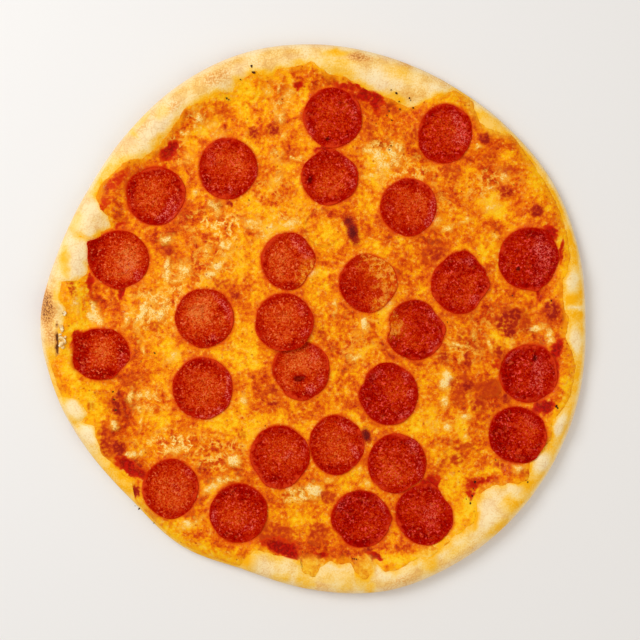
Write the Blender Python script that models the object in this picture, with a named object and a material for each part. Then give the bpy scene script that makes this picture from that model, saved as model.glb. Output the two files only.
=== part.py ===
"""A whole pepperoni pizza, uncut: a hand-stretched crust with a puffed rim, one sheet of melted cheese
and 27 slices of pepperoni set into it. It lies flat on z = 0 with its toppings up."""

import math

import bmesh
import bpy
from mathutils import Matrix, Vector, noise

MM = 0.001
GAP = 0.3  # clear space between one piece and the next, in mm like every size below

# Crust, seen from above: the radius of its edge every 15 degrees, counterclockwise from +X.
EDGE_RADIUS = (
    180, 181.5, 182.5, 180.5, 179.5, 180, 181.5, 181.5, 178, 173.5, 171.5, 174,
    180, 177.5, 172.5, 169.5, 173.5, 172, 179, 186, 187, 186.5, 185, 183,
)
BASE_INSET = 6.5  # from the edge to where the underside lies flat
TURN_INSET, TURN_HEIGHT = 2.2, 1.4  # a point of the rounded turn between underside and side
BASE_THICKNESS = 4.5
RIM_HEIGHT = 14.5
RIM_HEIGHT_UNDER_CHEESE = 11.5
RIM_CREST = 11.0  # from the edge to the top of the rim
RIM_FOOT = 36.0  # from the edge to where the dough is flat
BULGE_HEIGHT = 0.42  # where the side stands out farthest, as a part of the rim's height
SEGMENTS = 120

# The width of crust left bare between the cheese and the edge, as (degrees, width).
BARE_WIDTH = (
    (0, 4), (5, 14), (12, 4), (40, 4), (47, 9), (51, 10), (55, 4), (59, 4), (64, 24), (70, 27),
    (78, 23), (84, 18), (90, 13), (96, 17), (101, 20), (108, 20), (113, 21), (121, 15), (133, 23),
    (137, 20), (141, 9), (149, 7), (154, 22), (160, 12), (166, 20), (169, 21), (173, 8), (178, 15),
    (184, 16), (190, 6), (195, 5), (201, 11), (208, 11), (214, 7), (223, 5), (228, 3), (252, 4),
    (256, 15), (263, 19), (269, 8), (274, 18), (280, 14), (286, 18), (292, 16), (302, 14),
    (310, 18), (317, 21), (323, 9), (330, 7), (337, 13), (344, 5), (352, 10), (357, 9),
)
NARROWEST_BARE = 3.4
SHOULDER = 2.6  # how far in from the edge the side turns into the top of the rim

# Air bubbles that rose in the rim while it baked, as (x, y, radius, height).
BUBBLES = (
    (-64, 158, 12, 1.8), (30, 171, 10, 1.6), (61, 167, 9, 1.2), (-91, 139, 10, 1.5), (6, 166, 9, 0.8),
    (-174, 8, 9, 3.0), (-157, -61, 9, 1.2), (127, -136, 11, 1.2), (60, -170, 12, 1.4),
    (-20, -172, 11, 1.0), (161, -69, 8, 1.4), (150, -95, 9, 1.3), (168, 24, 8, 1.5), (100, -158, 9, 0.9),
)

# The slit where the skin of the large bubble on the left tore.
TEAR = {"x": -167.8, "y": -16.5, "length": 16.0, "width": 1.8, "depth": 3.5}

# Cheese
CHEESE_THICKNESS = 2.9
CHEESE_EDGE_THICKNESS = 1.3
CHEESE_TAPER = 14.0  # how far in from its edge the cheese reaches its full thickness
CHEESE_RINGS = 20
CHEESE_EDGE_RINGS = 5
LUMP = 0.45

# Blisters that browned on the cheese, as (x, y, radius, height).
BLISTERS = (
    (131, 0, 13, 1.3), (158, 5, 8, 1.0), (127, 84, 6, 0.8), (118, 109, 6, 0.9), (148, 72, 5, 0.7),
    (102, -44, 7, 0.9), (108, -57, 5, 0.7), (97, -94, 5, 0.8), (-45, 122, 6, 0.9), (-33, 125, 5, 0.8),
    (-118, -113, 5, 0.9), (-128, -82, 6, 0.7), (35, -78, 4, 1.2), (-52, -93, 9, 0.9), (0, -114, 7, 1.0),
    (-120, 0, 12, 0.8), (-70, 40, 12, 0.7), (48, 108, 8, 0.7), (90, -37, 8, 0.8), (26, 57, 6, 0.9),
)

# Pepperoni, as (x, y, width along x, width along y).
SLICE_THICKNESS = 1.8
SLICE_SINK = 1.0  # how deep a slice lies in the cheese
SLICE_CURL = 0.45  # how far its edge rises above its middle
SLICE_SIDES = 18
SLICES_APART = 1.0  # where two slices lie against each other
SLICES = (
    (13, 132.5, 38.5, 39.5), (11, 93.5, 37.5, 37), (87, 122, 34.5, 38), (-56, 99, 39, 40),
    (-103.5, 81, 39, 38.5), (63, 74, 37, 38), (142, 39.5, 39, 41), (-128, 39.5, 40, 37.5),
    (-16, 38, 36, 38), (36.5, 23.5, 38.5, 38.5), (97, 24, 37.5, 41), (-71.5, 0.5, 38.5, 39),
    (-19, -2, 38.5, 38), (67.5, -7.5, 38, 39.5), (-139.5, -23, 37, 34.5), (-8, -34, 37.5, 38.5),
    (-72.5, -46, 40, 40.5), (50, -49.5, 38.5, 40.5), (142, -36, 38, 38.5), (134.5, -76.5, 37, 37),
    (-22, -91, 39, 42), (15.5, -83, 36, 39.5), (55.5, -95.5, 38, 39.5), (-93.5, -111.5, 36.5, 38),
    (-49, -128, 37.5, 38.5), (31.5, -132, 39, 37.5), (73, -129, 38, 39),
)
UPPER_SLICE, LOWER_SLICE = 13, 16  # slice 13 lies over the edge of slice 16
UPPER_LIFT = 1.0
UPPER_TILT = 5.0  # degrees
LOWER_TILT = 2.0


def smoothstep(t):
    t = min(max(t, 0.0), 1.0)
    return t * t * (3 - 2 * t)


def wave(x, y, size, seed):
    """Smooth hills and hollows about this many millimetres across, between -1 and 1."""
    return noise.noise(Vector((x / size, y / size, seed)))


def hills(x, y, places):
    """The height at x, y of a list of rounded bumps."""
    return sum(h * math.exp(-((x - px) ** 2 + (y - py) ** 2) / (0.5 * r * r)) for px, py, r, h in places)


def edge_radius(degrees):
    """The radius of the pizza's edge, on a smooth closed curve through EDGE_RADIUS."""
    count = len(EDGE_RADIUS)
    place = (degrees % 360) * count / 360
    i = int(place)
    t = place - i
    a, b, c, d = (EDGE_RADIUS[(i + k) % count] for k in (-1, 0, 1, 2))
    return b + 0.5 * t * (c - a + t * (2 * a - 5 * b + 4 * c - d + t * (3 * (b - c) + d - a)))


def bare_width(degrees):
    """The width of bare crust at this angle."""
    degrees %= 360
    places = BARE_WIDTH + ((BARE_WIDTH[0][0] + 360, BARE_WIDTH[0][1]),)
    for (a, wa), (b, wb) in zip(places, places[1:]):
        if a <= degrees <= b:
            return max(wa + (wb - wa) * smoothstep((degrees - a) / (b - a)), NARROWEST_BARE)
    return NARROWEST_BARE


def point_at(degrees, inset):
    """The point this far in from the pizza's edge."""
    radius = edge_radius(degrees) - inset
    angle = math.radians(degrees)
    return radius * math.cos(angle), radius * math.sin(angle)


def dough_top(x, y):
    """The height of the dough's upper side."""
    degrees = math.degrees(math.atan2(y, x))
    inset = edge_radius(degrees) - math.hypot(x, y)
    bare = bare_width(degrees)
    height = RIM_HEIGHT_UNDER_CHEESE + (RIM_HEIGHT - RIM_HEIGHT_UNDER_CHEESE) * smoothstep((bare - 3) / 12)
    height += 0.9 * wave(x, y, 34, 1.7)
    if inset < RIM_CREST:
        rise = math.sqrt(max(1 - ((RIM_CREST - inset) / RIM_CREST) ** 2, 0.0))
        top = height * (BULGE_HEIGHT + (1 - BULGE_HEIGHT) * rise)
    else:
        fall = smoothstep((inset - RIM_CREST) / (RIM_FOOT - RIM_CREST))
        top = height + (BASE_THICKNESS - height) * fall
    fade = smoothstep(inset / 6) * (1 - smoothstep((inset - 20) / (RIM_FOOT - 20)))
    return top + fade * (hills(x, y, BUBBLES) + 0.35 * wave(x, y, 9, 4.2))


def cheese_bottom(x, y):
    return dough_top(x, y) + GAP


def cheese_top(x, y):
    """The height of the cheese's upper side, before the pepperoni's places are cut."""
    degrees = math.degrees(math.atan2(y, x))
    from_edge = edge_radius(degrees) - bare_width(degrees) - math.hypot(x, y)
    full = smoothstep(from_edge / CHEESE_TAPER)
    thickness = CHEESE_EDGE_THICKNESS + (CHEESE_THICKNESS - CHEESE_EDGE_THICKNESS) * full
    relief = LUMP * (wave(x, y, 26, 9.3) + 0.7 * wave(x, y, 11, 2.6)) + hills(x, y, BLISTERS)
    return cheese_bottom(x, y) + thickness + smoothstep(from_edge / 6) * relief


def material(name, color, roughness):
    made = bpy.data.materials.new(name)
    made.use_nodes = True
    shader = made.node_tree.nodes["Principled BSDF"]
    shader.inputs["Base Color"].default_value = (*color, 1)
    shader.inputs["Roughness"].default_value = roughness
    shader.inputs["Metallic"].default_value = 0
    return made


def mesh_object(name, points, faces, finish):
    """An object from points in millimetres, shaded smooth but for its sharp corners."""
    mesh = bpy.data.meshes.new(name)
    mesh.from_pydata([Vector(p) * MM for p in points], [], faces)
    mesh.materials.append(finish)
    mesh.shade_smooth()
    mesh.set_sharp_from_angle(angle=math.radians(50))
    made = bpy.data.objects.new(name, mesh)
    bpy.context.scene.collection.objects.link(made)
    return made


def band(lower, upper):
    """Triangles between two rings of as many points, facing out where lower is below or outside upper."""
    count = len(lower)
    faces = []
    for i in range(count):
        j = (i + 1) % count
        faces.append((lower[i], lower[j], upper[j]))
        faces.append((lower[i], upper[j], upper[i]))
    return faces


def fan_rings(inner, outer, n):
    """Upward triangles between a ring of 6n points and one of 6(n + 1)."""
    faces = []
    for side in range(6):
        for j in range(n + 1):
            a = inner[(side * n + j) % len(inner)]
            b = outer[side * (n + 1) + j]
            c = outer[(side * (n + 1) + j + 1) % len(outer)]
            faces.append((a, b, c))
            if j < n:
                faces.append((a, c, inner[(side * n + j + 1) % len(inner)]))
    return faces


def covered_insets(degrees):
    """Where the dough's rings lie under the cheese, from its edge in to the flat middle."""
    bare = bare_width(degrees)
    return [bare + (RIM_FOOT - bare) * k / CHEESE_EDGE_RINGS for k in range(CHEESE_EDGE_RINGS + 1)]


def build_crust(finish):
    """The dough: a flat base, a rounded side, a puffed rim and a hollow for the cheese."""
    angles = [360 * i / SEGMENTS for i in range(SEGMENTS)]
    points = []
    rings = []

    def add_ring(ring):
        rings.append(list(range(len(points), len(points) + len(ring))))
        points.extend(ring)

    def add_top_ring(insets):
        spots = [point_at(degrees, inset) for degrees, inset in zip(angles, insets)]
        add_ring([(x, y, dough_top(x, y)) for x, y in spots])

    add_ring([(*point_at(degrees, BASE_INSET), 0.0) for degrees in angles])
    add_ring([(*point_at(degrees, TURN_INSET), TURN_HEIGHT) for degrees in angles])
    for part in (0.0, 0.4, 1.0):
        add_top_ring([part * SHOULDER for _ in angles])
    for part in (1 / 3, 2 / 3):
        add_top_ring([SHOULDER + (bare_width(degrees) - SHOULDER) * part for degrees in angles])
    for k in range(CHEESE_EDGE_RINGS):
        add_top_ring([covered_insets(degrees)[k] for degrees in angles])
    add_ring([(*point_at(degrees, RIM_FOOT), BASE_THICKNESS) for degrees in angles])
    faces = [face for lower, upper in zip(rings, rings[1:]) for face in band(lower, upper)]
    faces.append(tuple(reversed(rings[0])))
    faces.append(tuple(rings[-1]))
    crust = mesh_object("crust", points, faces, finish)

    tear = bpy.data.meshes.new("tear")
    shape = bmesh.new()
    bmesh.ops.create_uvsphere(shape, u_segments=10, v_segments=6, radius=1.0)
    shape.to_mesh(tear)
    shape.free()
    cutter = bpy.data.objects.new("tear", tear)
    bpy.context.scene.collection.objects.link(cutter)
    x, y = TEAR["x"], TEAR["y"]
    cutter.location = Vector((x, y, dough_top(x, y))) * MM
    cutter.scale = Vector((TEAR["width"] / 2, TEAR["length"] / 2, TEAR["depth"])) * MM
    cutter.rotation_euler.z = math.radians(2)
    cutter.hide_render = True
    cutter.display_type = "WIRE"
    cut = crust.modifiers.new("tear", "BOOLEAN")
    cut.object = cutter
    return crust


def build_cheese(finish):
    """One sheet of melted cheese that follows the dough and climbs part of the rim."""
    flat_rings = CHEESE_RINGS - CHEESE_EDGE_RINGS
    points = [(0.0, 0.0, cheese_top(0.0, 0.0))]
    rings = []
    for n in range(1, CHEESE_RINGS + 1):
        ring = []
        for i in range(6 * n):
            degrees = 60 * i / n
            if n <= flat_rings:
                inset = edge_radius(degrees) - (edge_radius(degrees) - RIM_FOOT) * n / flat_rings
            else:
                bare = bare_width(degrees) + 0.2
                inset = RIM_FOOT + (bare - RIM_FOOT) * (n - flat_rings) / CHEESE_EDGE_RINGS
            x, y = point_at(degrees, inset)
            ring.append((x, y, cheese_top(x, y)))
        rings.append(list(range(len(points), len(points) + len(ring))))
        points.extend(ring)
    faces = [(0, a, b) for a, b in zip(rings[0], rings[0][1:] + rings[0][:1])]
    for n in range(1, CHEESE_RINGS):
        faces.extend(fan_rings(rings[n - 1], rings[n], n))

    under = []
    for k in range(CHEESE_EDGE_RINGS + 1):
        ring = []
        for i in range(SEGMENTS):
            degrees = 360 * i / SEGMENTS
            x, y = point_at(degrees, covered_insets(degrees)[k])
            height = BASE_THICKNESS if k == CHEESE_EDGE_RINGS else dough_top(x, y)
            ring.append((x, y, height + GAP))
        under.append(list(range(len(points), len(points) + len(ring))))
        points.extend(ring)
    faces.extend(band(under[0], rings[-1]))
    for outer, inner in zip(under, under[1:]):
        faces.extend(tuple(reversed(face)) for face in band(outer, inner))
    faces.append(tuple(reversed(under[-1])))
    return mesh_object("cheese", points, faces, finish)


def slice_radius(number, angle):
    """A slice's radius at this angle, a little uneven as cut and cooked meat is."""
    _, _, width, depth = SLICES[number - 1]
    even = 1 / math.hypot(math.cos(angle) / (width / 2), math.sin(angle) / (depth / 2))
    return even + 0.22 * math.sin(3 * angle + 2.1 * number) + 0.16 * math.sin(5 * angle + 1.3 * number)


def slice_outline(number, extra):
    """The outline about the slice's middle, pressed flat where a neighbour touches it."""
    x, y, _, _ = SLICES[number - 1]
    outline = []
    for i in range(SLICE_SIDES):
        angle = 2 * math.pi * i / SLICE_SIDES
        radius = slice_radius(number, angle) + extra
        outline.append(Vector((radius * math.cos(angle), radius * math.sin(angle))))
    for other, (ox, oy, _, _) in enumerate(SLICES, 1):
        if other == number or {other, number} == {UPPER_SLICE, LOWER_SLICE}:
            continue
        way = Vector((ox - x, oy - y))
        apart = way.length
        if apart > 50:
            continue
        way.normalize()
        angle = math.atan2(way.y, way.x)
        mine = slice_radius(number, angle)
        theirs = slice_radius(other, angle + math.pi)
        reach = mine - max((mine + theirs + SLICES_APART - apart) / 2, 0.0) + extra
        for point in outline:
            point -= way * max(point.dot(way) - reach, 0.0)
    return outline


def slice_plane(number):
    """(height, slope along x, slope along y) of the cheese under a slice, by least squares."""
    x, y, width, depth = SLICES[number - 1]
    spots = [(0.0, 0.0)]
    for part in (0.35, 0.65, 0.95):
        for i in range(16):
            angle = math.pi * i / 8
            spots.append((part * width / 2 * math.cos(angle), part * depth / 2 * math.sin(angle)))
    tops = [cheese_top(x + dx, y + dy) for dx, dy in spots]
    height = sum(tops) / len(tops)
    slope_x = sum(dx * top for (dx, _), top in zip(spots, tops)) / sum(dx * dx for dx, _ in spots)
    slope_y = sum(dy * top for (_, dy), top in zip(spots, tops)) / sum(dy * dy for _, dy in spots)
    base = height - SLICE_SINK
    if number in (UPPER_SLICE, LOWER_SLICE):
        upper, lower = SLICES[UPPER_SLICE - 1], SLICES[LOWER_SLICE - 1]
        way = Vector((lower[0] - upper[0], lower[1] - upper[1])).normalized()
        tilt = math.tan(math.radians(UPPER_TILT if number == UPPER_SLICE else LOWER_TILT))
        slope_x, slope_y = way.x * tilt, way.y * tilt
        base += UPPER_LIFT if number == UPPER_SLICE else -0.2
    floor = [base + dx * slope_x + dy * slope_y - cheese_bottom(x + dx, y + dy) for dx, dy in spots]
    return base + max(GAP + 0.6 - min(floor), 0.0), slope_x, slope_y


def slice_place(number):
    """The slice's location, and its turn to the slope that it lies on."""
    x, y, _, _ = SLICES[number - 1]
    height, slope_x, slope_y = slice_plane(number)
    up = Vector((-slope_x, -slope_y, 1)).normalized()
    turn = Vector((0, 0, 1)).rotation_difference(up)
    return Matrix.Translation(Vector((x, y, height)) * MM) @ turn.to_matrix().to_4x4()


def build_slice(number, finish):
    """A thin round slice of pepperoni with its edge curled up."""
    rims = (
        [(p.x, p.y, 0.0) for p in slice_outline(number, 0.0)],
        [(p.x, p.y, SLICE_THICKNESS + SLICE_CURL) for p in slice_outline(number, -0.35)],
        [(p.x, p.y, SLICE_THICKNESS) for p in slice_outline(number, -4.5)],
    )
    points = [point for ring in rims for point in ring] + [(0.0, 0.0, SLICE_THICKNESS - 0.15)]
    rings = [list(range(k * SLICE_SIDES, (k + 1) * SLICE_SIDES)) for k in range(3)]
    faces = band(rings[0], rings[1]) + band(rings[1], rings[2])
    faces.extend((a, b, len(points) - 1) for a, b in zip(rings[2], rings[2][1:] + rings[2][:1]))
    faces.append(tuple(reversed(rings[0])))
    made = mesh_object(f"pepperoni_{number:02d}", points, faces, finish)
    made.matrix_world = slice_place(number)
    return made


def build_socket(number, sockets):
    """The room that a slice takes up in the cheese, with a gap all round it."""
    outline = slice_outline(number, GAP)
    points = [(p.x, p.y, -GAP) for p in outline] + [(p.x, p.y, 9.0) for p in outline]
    low = list(range(SLICE_SIDES))
    high = list(range(SLICE_SIDES, 2 * SLICE_SIDES))
    mesh = bpy.data.meshes.new(f"socket_{number:02d}")
    mesh.from_pydata([Vector(p) * MM for p in points], [], band(low, high) + [tuple(reversed(low)), tuple(high)])
    made = bpy.data.objects.new(mesh.name, mesh)
    sockets.objects.link(made)
    made.matrix_world = slice_place(number)
    made.hide_render = True
    made.display_type = "WIRE"


for old in list(bpy.data.objects):
    bpy.data.objects.remove(old, do_unlink=True)

crust_finish = material("baked_crust", (0.80, 0.58, 0.30), 0.75)
cheese_finish = material("melted_cheese", (0.90, 0.42, 0.04), 0.35)
pepperoni_finish = material("pepperoni", (0.50, 0.03, 0.01), 0.35)

build_crust(crust_finish)
cheese = build_cheese(cheese_finish)
sockets = bpy.data.collections.new("sockets")
bpy.context.scene.collection.children.link(sockets)
for number in range(1, len(SLICES) + 1):
    build_slice(number, pepperoni_finish)
    build_socket(number, sockets)
cut = cheese.modifiers.new("sockets", "BOOLEAN")
cut.operand_type = "COLLECTION"
cut.collection = sockets
cut.solver = "EXACT"
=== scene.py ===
import math

import bpy
import numpy as np
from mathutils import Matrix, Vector, noise


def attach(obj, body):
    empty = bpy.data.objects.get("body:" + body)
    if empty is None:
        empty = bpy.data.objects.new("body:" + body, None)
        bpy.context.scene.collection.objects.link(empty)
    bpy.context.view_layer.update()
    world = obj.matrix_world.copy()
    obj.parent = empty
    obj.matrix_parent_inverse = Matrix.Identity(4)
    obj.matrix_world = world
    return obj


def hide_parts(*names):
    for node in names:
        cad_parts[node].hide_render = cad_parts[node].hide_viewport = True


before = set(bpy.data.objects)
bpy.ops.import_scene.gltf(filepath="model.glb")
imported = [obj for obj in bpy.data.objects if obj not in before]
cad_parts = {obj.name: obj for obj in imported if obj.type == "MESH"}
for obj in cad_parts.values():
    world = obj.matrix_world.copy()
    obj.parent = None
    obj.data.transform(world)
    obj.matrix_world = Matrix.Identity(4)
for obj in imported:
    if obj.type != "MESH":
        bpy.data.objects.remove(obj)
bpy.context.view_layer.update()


# Crust: one disc of hand-stretched wheat dough, baked until its rim puffed up. It is cream coloured, with
# tan blisters and yellow oil stains beside the cheese, and brown and floury underneath.

MM = 0.001
EDGE_RADIUS = (
    180, 181.5, 182.5, 180.5, 179.5, 180, 181.5, 181.5, 178, 173.5, 171.5, 174,
    180, 177.5, 172.5, 169.5, 173.5, 172, 179, 186, 187, 186.5, 185, 183,
)
BASE_THICKNESS = 4.5
BASE_INSET = 6.5
RIM_HEIGHT = 14.5
RIM_HEIGHT_UNDER_CHEESE = 11.5
RIM_CREST = 11.0
RIM_FOOT = 36.0
BULGE_HEIGHT = 0.42
BARE_WIDTH = (
    (0, 12), (2.5, 15), (8.5, 15), (11, 10), (14, 7), (20, 5), (30, 5), (36, 4.5), (43, 2), (45, 7),
    (47.5, 10), (49.7, 10.5), (52, 6.5), (53.7, 1.5), (58, 1.5), (60.3, 10), (62.5, 17), (64, 23),
    (66, 26.5), (72.5, 25.5), (76, 25), (79, 22.5), (83, 20), (86, 20), (88, 17), (90.5, 12),
    (92.5, 15), (98, 16), (99.5, 19.5), (102, 18), (103, 14.5), (108, 18.5), (109.6, 22), (113, 18.5),
    (116, 18.5), (121, 16), (125, 19), (129, 21), (132, 21.5), (137, 19), (138, 15.5), (139.3, 13),
    (141, 11), (145, 8.5), (147, 6), (150.5, 7.5), (152.6, 14), (153.6, 21), (155.4, 25), (159.3, 19),
    (160.3, 8.5), (161.5, 17.5), (165.5, 21.5), (168.7, 23), (170.7, 20), (171.5, 10), (174.5, 11),
    (178.6, 17.5), (182.5, 15), (187, 13.5), (190, 3.5), (197, 3.5), (199, 14), (202.6, 14.5),
    (204, 8), (206.3, 13.5), (209, 10), (213, 6.5), (215.5, 8), (218.7, 8), (221.5, 9), (226.5, 1.5),
    (253.5, 1.5), (254.5, 10.5), (256, 15.5), (258, 16.5), (261.7, 17), (264.7, 19), (267, 18),
    (267.6, 11), (270.2, 9.5), (272, 17), (274, 21), (276, 19.5), (278.8, 21), (279.5, 15), (281.2, 10),
    (283.2, 13), (284.5, 19.5), (286, 13.5), (289, 13), (292, 15), (294.3, 15.5), (296, 13), (300.5, 15),
    (305, 16.5), (308, 16.5), (310.4, 20), (312, 24.5), (314, 26), (316.8, 25), (319.4, 19),
    (321.6, 12.5), (323, 9.5), (327.3, 15), (331.2, 11), (333.7, 9), (336, 13), (343.6, 6.5),
    (350, 6), (352, 9), (355.8, 14), (358, 13),
)
BUBBLES = (
    (-64, 158, 12, 1.8), (30, 171, 10, 1.6), (61, 167, 9, 1.2), (-91, 139, 10, 1.5), (6, 166, 9, 0.8),
    (-174, 8, 9, 3.0), (-157, -61, 9, 1.2), (127, -136, 11, 1.2), (60, -170, 12, 1.4),
    (-20, -172, 11, 1.0), (161, -69, 8, 1.4), (150, -95, 9, 1.3), (168, 24, 8, 1.5), (100, -158, 9, 0.9),
)
TEAR_PLACE = (-167.8, -16.5)
TEAR_LENGTH, TEAR_WIDTH, TEAR_DEPTH = 17.0, 1.9, 2.4

# Browned patches on the rim and yellow oil stains, as (x, y, half length, half width, turn, strength).
BROWNED = (
    (-64, 158, 12, 5, 25, 0.55), (30, 171.5, 9, 3.5, -8, 0.75), (61, 166, 5, 3, -20, 0.5),
    (-91, 139, 7, 4, 35, 0.45), (-30, 168, 16, 3, 10, 0.3), (85, 156, 12, 3, -28, 0.35),
    (-174.5, 8, 5.5, 13, 4, 1.0), (-172, -22, 3.5, 14, -8, 0.55), (127, -138, 10, 5, 45, 0.35),
    (60, -171, 14, 4, 20, 0.4), (-52, -163, 14, 3, -18, 0.3), (12, -179, 14, 3, 2, 0.3),
    (-110, 128, 12, 3, 48, 0.3), (100, -160, 10, 4, 33, 0.25), (-148, 96, 10, 3, 62, 0.3),
    (160, -110, 8, 3, 50, 0.25), (6, 176, 8, 2.5, 0, 0.25), (57, 163, 12, 5, -25, 0.35), (-171.5, -13, 4, 13, 4, 0.6),
    (56, 161, 16, 6, -20, 0.3), (11, -167, 12, 4, 0, 0.2), (-96, 142, 10, 5, 40, 0.2),
)
STAINED = (
    (15, 175, 9, 3, 5, 0.9), (122, -137, 10, 3.5, 40, 0.8), (136, -113, 6, 10, 30, 0.8),
    (-5, -167, 5, 7, 0, 0.9), (-22, -171, 6, 4, 0, 0.7), (-163, 36, 3, 13, 8, 0.8), (-154, 55, 4, 4, 0, 0.7),
    (37, -178, 4, 5, 0, 0.9), (171, 11, 6, 2, 15, 0.9), (172, 4, 7, 2, -5, 0.9), (-157, -87, 5, 8, 25, 0.8),
    (-113, 131, 3, 7, -45, 0.5), (56, 160, 8, 5, -15, 0.4), (20, 160, 12, 4, -5, 0.6),
    (-165, -48, 5, 9, 15, 0.8), (95, -150, 9, 3, 40, 0.5), (-98, 136, 5, 4, 30, 0.5),
    (170, -25, 4, 8, -5, 0.5), (168, -45, 5, 8, -10, 0.6), (20, -176, 6, 4, 0, 0.5), (57, 161, 10, 5, -20, 0.6),
    (-131, -105, 9, 24, 39, 1.0),
    (-167, -42, 7, 18, 12, 0.9), (-4, -174, 4, 6, 0, 0.8), (32, -172, 5, 7, 0, 0.6), (112, 128, 6, 12, 50, 0.6),
    (94, -140, 6, 12, -52, 0.9),
    (103, -122, 5, 10, -35, 0.6), (76, -160, 5, 8, 0, 0.8), (-122, 124, 1.6, 9, 45, 0.7), (-156, 62, 4, 8, -20, 0.6),
)
# Rim soaked with yellow oil, as (first degree, last degree, inset, half width, strength), and the pale bare
# dough left in it, as (x, y, half length, half width, turn, strength).
SOAKED_RIM = (
    (-47, 54, 8.5, 6.5, 1.0), (184, 208, 8.5, 6.5, 1.0), (208, 216, 9.0, 4.0, 0.5), (214, 259, 7.0, 6.0, 1.0),
    (139, 153, 6.5, 4.0, 0.8), (-92, -78, 12.0, 5.0, 0.5), (78, 92, 14.0, 5.0, 0.5),
)
BARE_SPOTS = (
    (160.7, -69.3, 4.6, 8.6, -20, 1.0), (150.2, -94.4, 5.5, 7.5, -40, 1.0), (169.6, 25, 4.6, 7.6, 0, 0.8),
    (172, 7.5, 6, 1.6, 0, 0.8), (172, -14.5, 5, 9, 0, 0.9), (-157, -58, 6.5, 8, 25, 0.9), (-166, -37, 4.5, 6, 10, 0.7),
    (-148, -75, 5, 8, 30, 0.9), (-143, -86, 3, 6, 35, 0.4), (133, -112, 7, 5, -45, 0.7), (-165.5, 12, 1.8, 9, 12, 0.9),
)
# The palest floury dough, and sauce that ran onto the rim, given the same way.
FLOURY = (
    (-153, 38, 10, 14, -5, 1.0), (-158, 58, 8, 14, -15, 0.9), (-151, 82, 7, 10, -35, 0.6), (-160, 22, 9, 4, 0, 0.9),
    (44, 157, 12, 6, -15, 0.9), (86, 146, 12, 5, -35, 0.8), (-50, 163, 12, 5, 25, 0.5), (-118, 116, 12, 7, 45, 0.5),
    (-36, -162, 10, 6, -18, 0.7), (12, -167, 12, 7, 0, 0.7), (52, -164, 13, 6, 12, 0.7), (112, -128, 14, 9, 40, 0.8),
    (88, -148, 14, 6, 30, 0.5), (-8, 169, 14, 5, 5, 0.4), (-101, 128, 22, 8, 38, 1.0), (-147, 68, 7, 13, -22, 0.9),
)
SMEARED = (
    (-19, -151.5, 11, 3.4, -24, 1.0), (-25, -148.6, 6, 3, -10, 1.0), (6, -155.5, 5, 1.5, 0, 0.8), (-122, -98, 8, 3, -38, 0.8),
    (161, -20, 2.6, 7, -25, 0.9), (156, 57, 4, 5, 0, 0.6), (42, 146, 6, 2.5, -30, 0.8),
)


def smoothstep(t):
    t = np.clip(t, 0.0, 1.0)
    return t * t * (3 - 2 * t)


def wave(x, y, size, seed):
    """Smooth hills and hollows about this many millimetres across, between -1 and 1."""
    flat = zip((np.ravel(x) / size).tolist(), (np.ravel(y) / size).tolist())
    values = np.fromiter((noise.noise(Vector((a, b, seed))) for a, b in flat), float)
    return values.reshape(np.shape(x))


def hills(x, y, places):
    total = np.zeros(np.shape(x))
    for px, py, r, h in places:
        total += h * np.exp(-((x - px) ** 2 + (y - py) ** 2) / (0.5 * r * r))
    return total


def patches(x, y, places, soft=0.5):
    """How far each point lies inside any of these turned ellipses, from 0 to their strength."""
    most = np.zeros(np.shape(x))
    for px, py, length, width, turn, strength in places:
        c, s = math.cos(math.radians(turn)), math.sin(math.radians(turn))
        along = ((x - px) * c + (y - py) * s) / length
        across = ((y - py) * c - (x - px) * s) / width
        inside = smoothstep((1 + soft - np.hypot(along, across)) / (2 * soft))
        most = np.maximum(most, inside * strength)
    return most


def edge_radius(degrees):
    count = len(EDGE_RADIUS)
    place = (degrees % 360) * count / 360
    i = np.floor(place).astype(int)
    t = place - i
    radii = np.array(EDGE_RADIUS, float)
    a, b, c, d = (radii[(i + k) % count] for k in (-1, 0, 1, 2))
    return b + 0.5 * t * (c - a + t * (2 * a - 5 * b + 4 * c - d + t * (3 * (b - c) + d - a)))


def bare_width(degrees):
    places = np.array(BARE_WIDTH + ((360 + BARE_WIDTH[0][0], BARE_WIDTH[0][1]),), float)
    degrees = degrees % 360
    i = np.clip(np.searchsorted(places[:, 0], degrees, side="right") - 1, 0, len(places) - 2)
    t = (degrees - places[i, 0]) / (places[i + 1, 0] - places[i, 0])
    return places[i, 1] + (places[i + 1, 1] - places[i, 1]) * smoothstep(t)


def dough_top(x, y):
    degrees = np.degrees(np.arctan2(y, x))
    inset = edge_radius(degrees) - np.hypot(x, y)
    bare = bare_width(degrees)
    height = RIM_HEIGHT_UNDER_CHEESE + (RIM_HEIGHT - RIM_HEIGHT_UNDER_CHEESE) * smoothstep((bare - 3) / 12)
    height = height + 0.9 * wave(x, y, 34, 1.7)
    rise = np.sqrt(np.clip(1 - ((RIM_CREST - inset) / RIM_CREST) ** 2, 0.0, 1.0))
    outside = height * (BULGE_HEIGHT + (1 - BULGE_HEIGHT) * rise)
    fall = smoothstep((inset - RIM_CREST) / (RIM_FOOT - RIM_CREST))
    inside = height + (BASE_THICKNESS - height) * fall
    top = np.where(inset < RIM_CREST, outside, inside)
    fade = smoothstep(inset / 6) * (1 - smoothstep((inset - 20) / (RIM_FOOT - 20)))
    return top + fade * (hills(x, y, BUBBLES) + 0.35 * wave(x, y, 9, 4.2))


def srgb(red, green, blue):
    """A colour given as 0 to 255 on a screen, as the light values that a shader takes."""
    values = [v / 255 for v in (red, green, blue)]
    return tuple(v / 12.92 if v <= 0.04045 else ((v + 0.055) / 1.055) ** 2.4 for v in values) + (1.0,)


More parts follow.
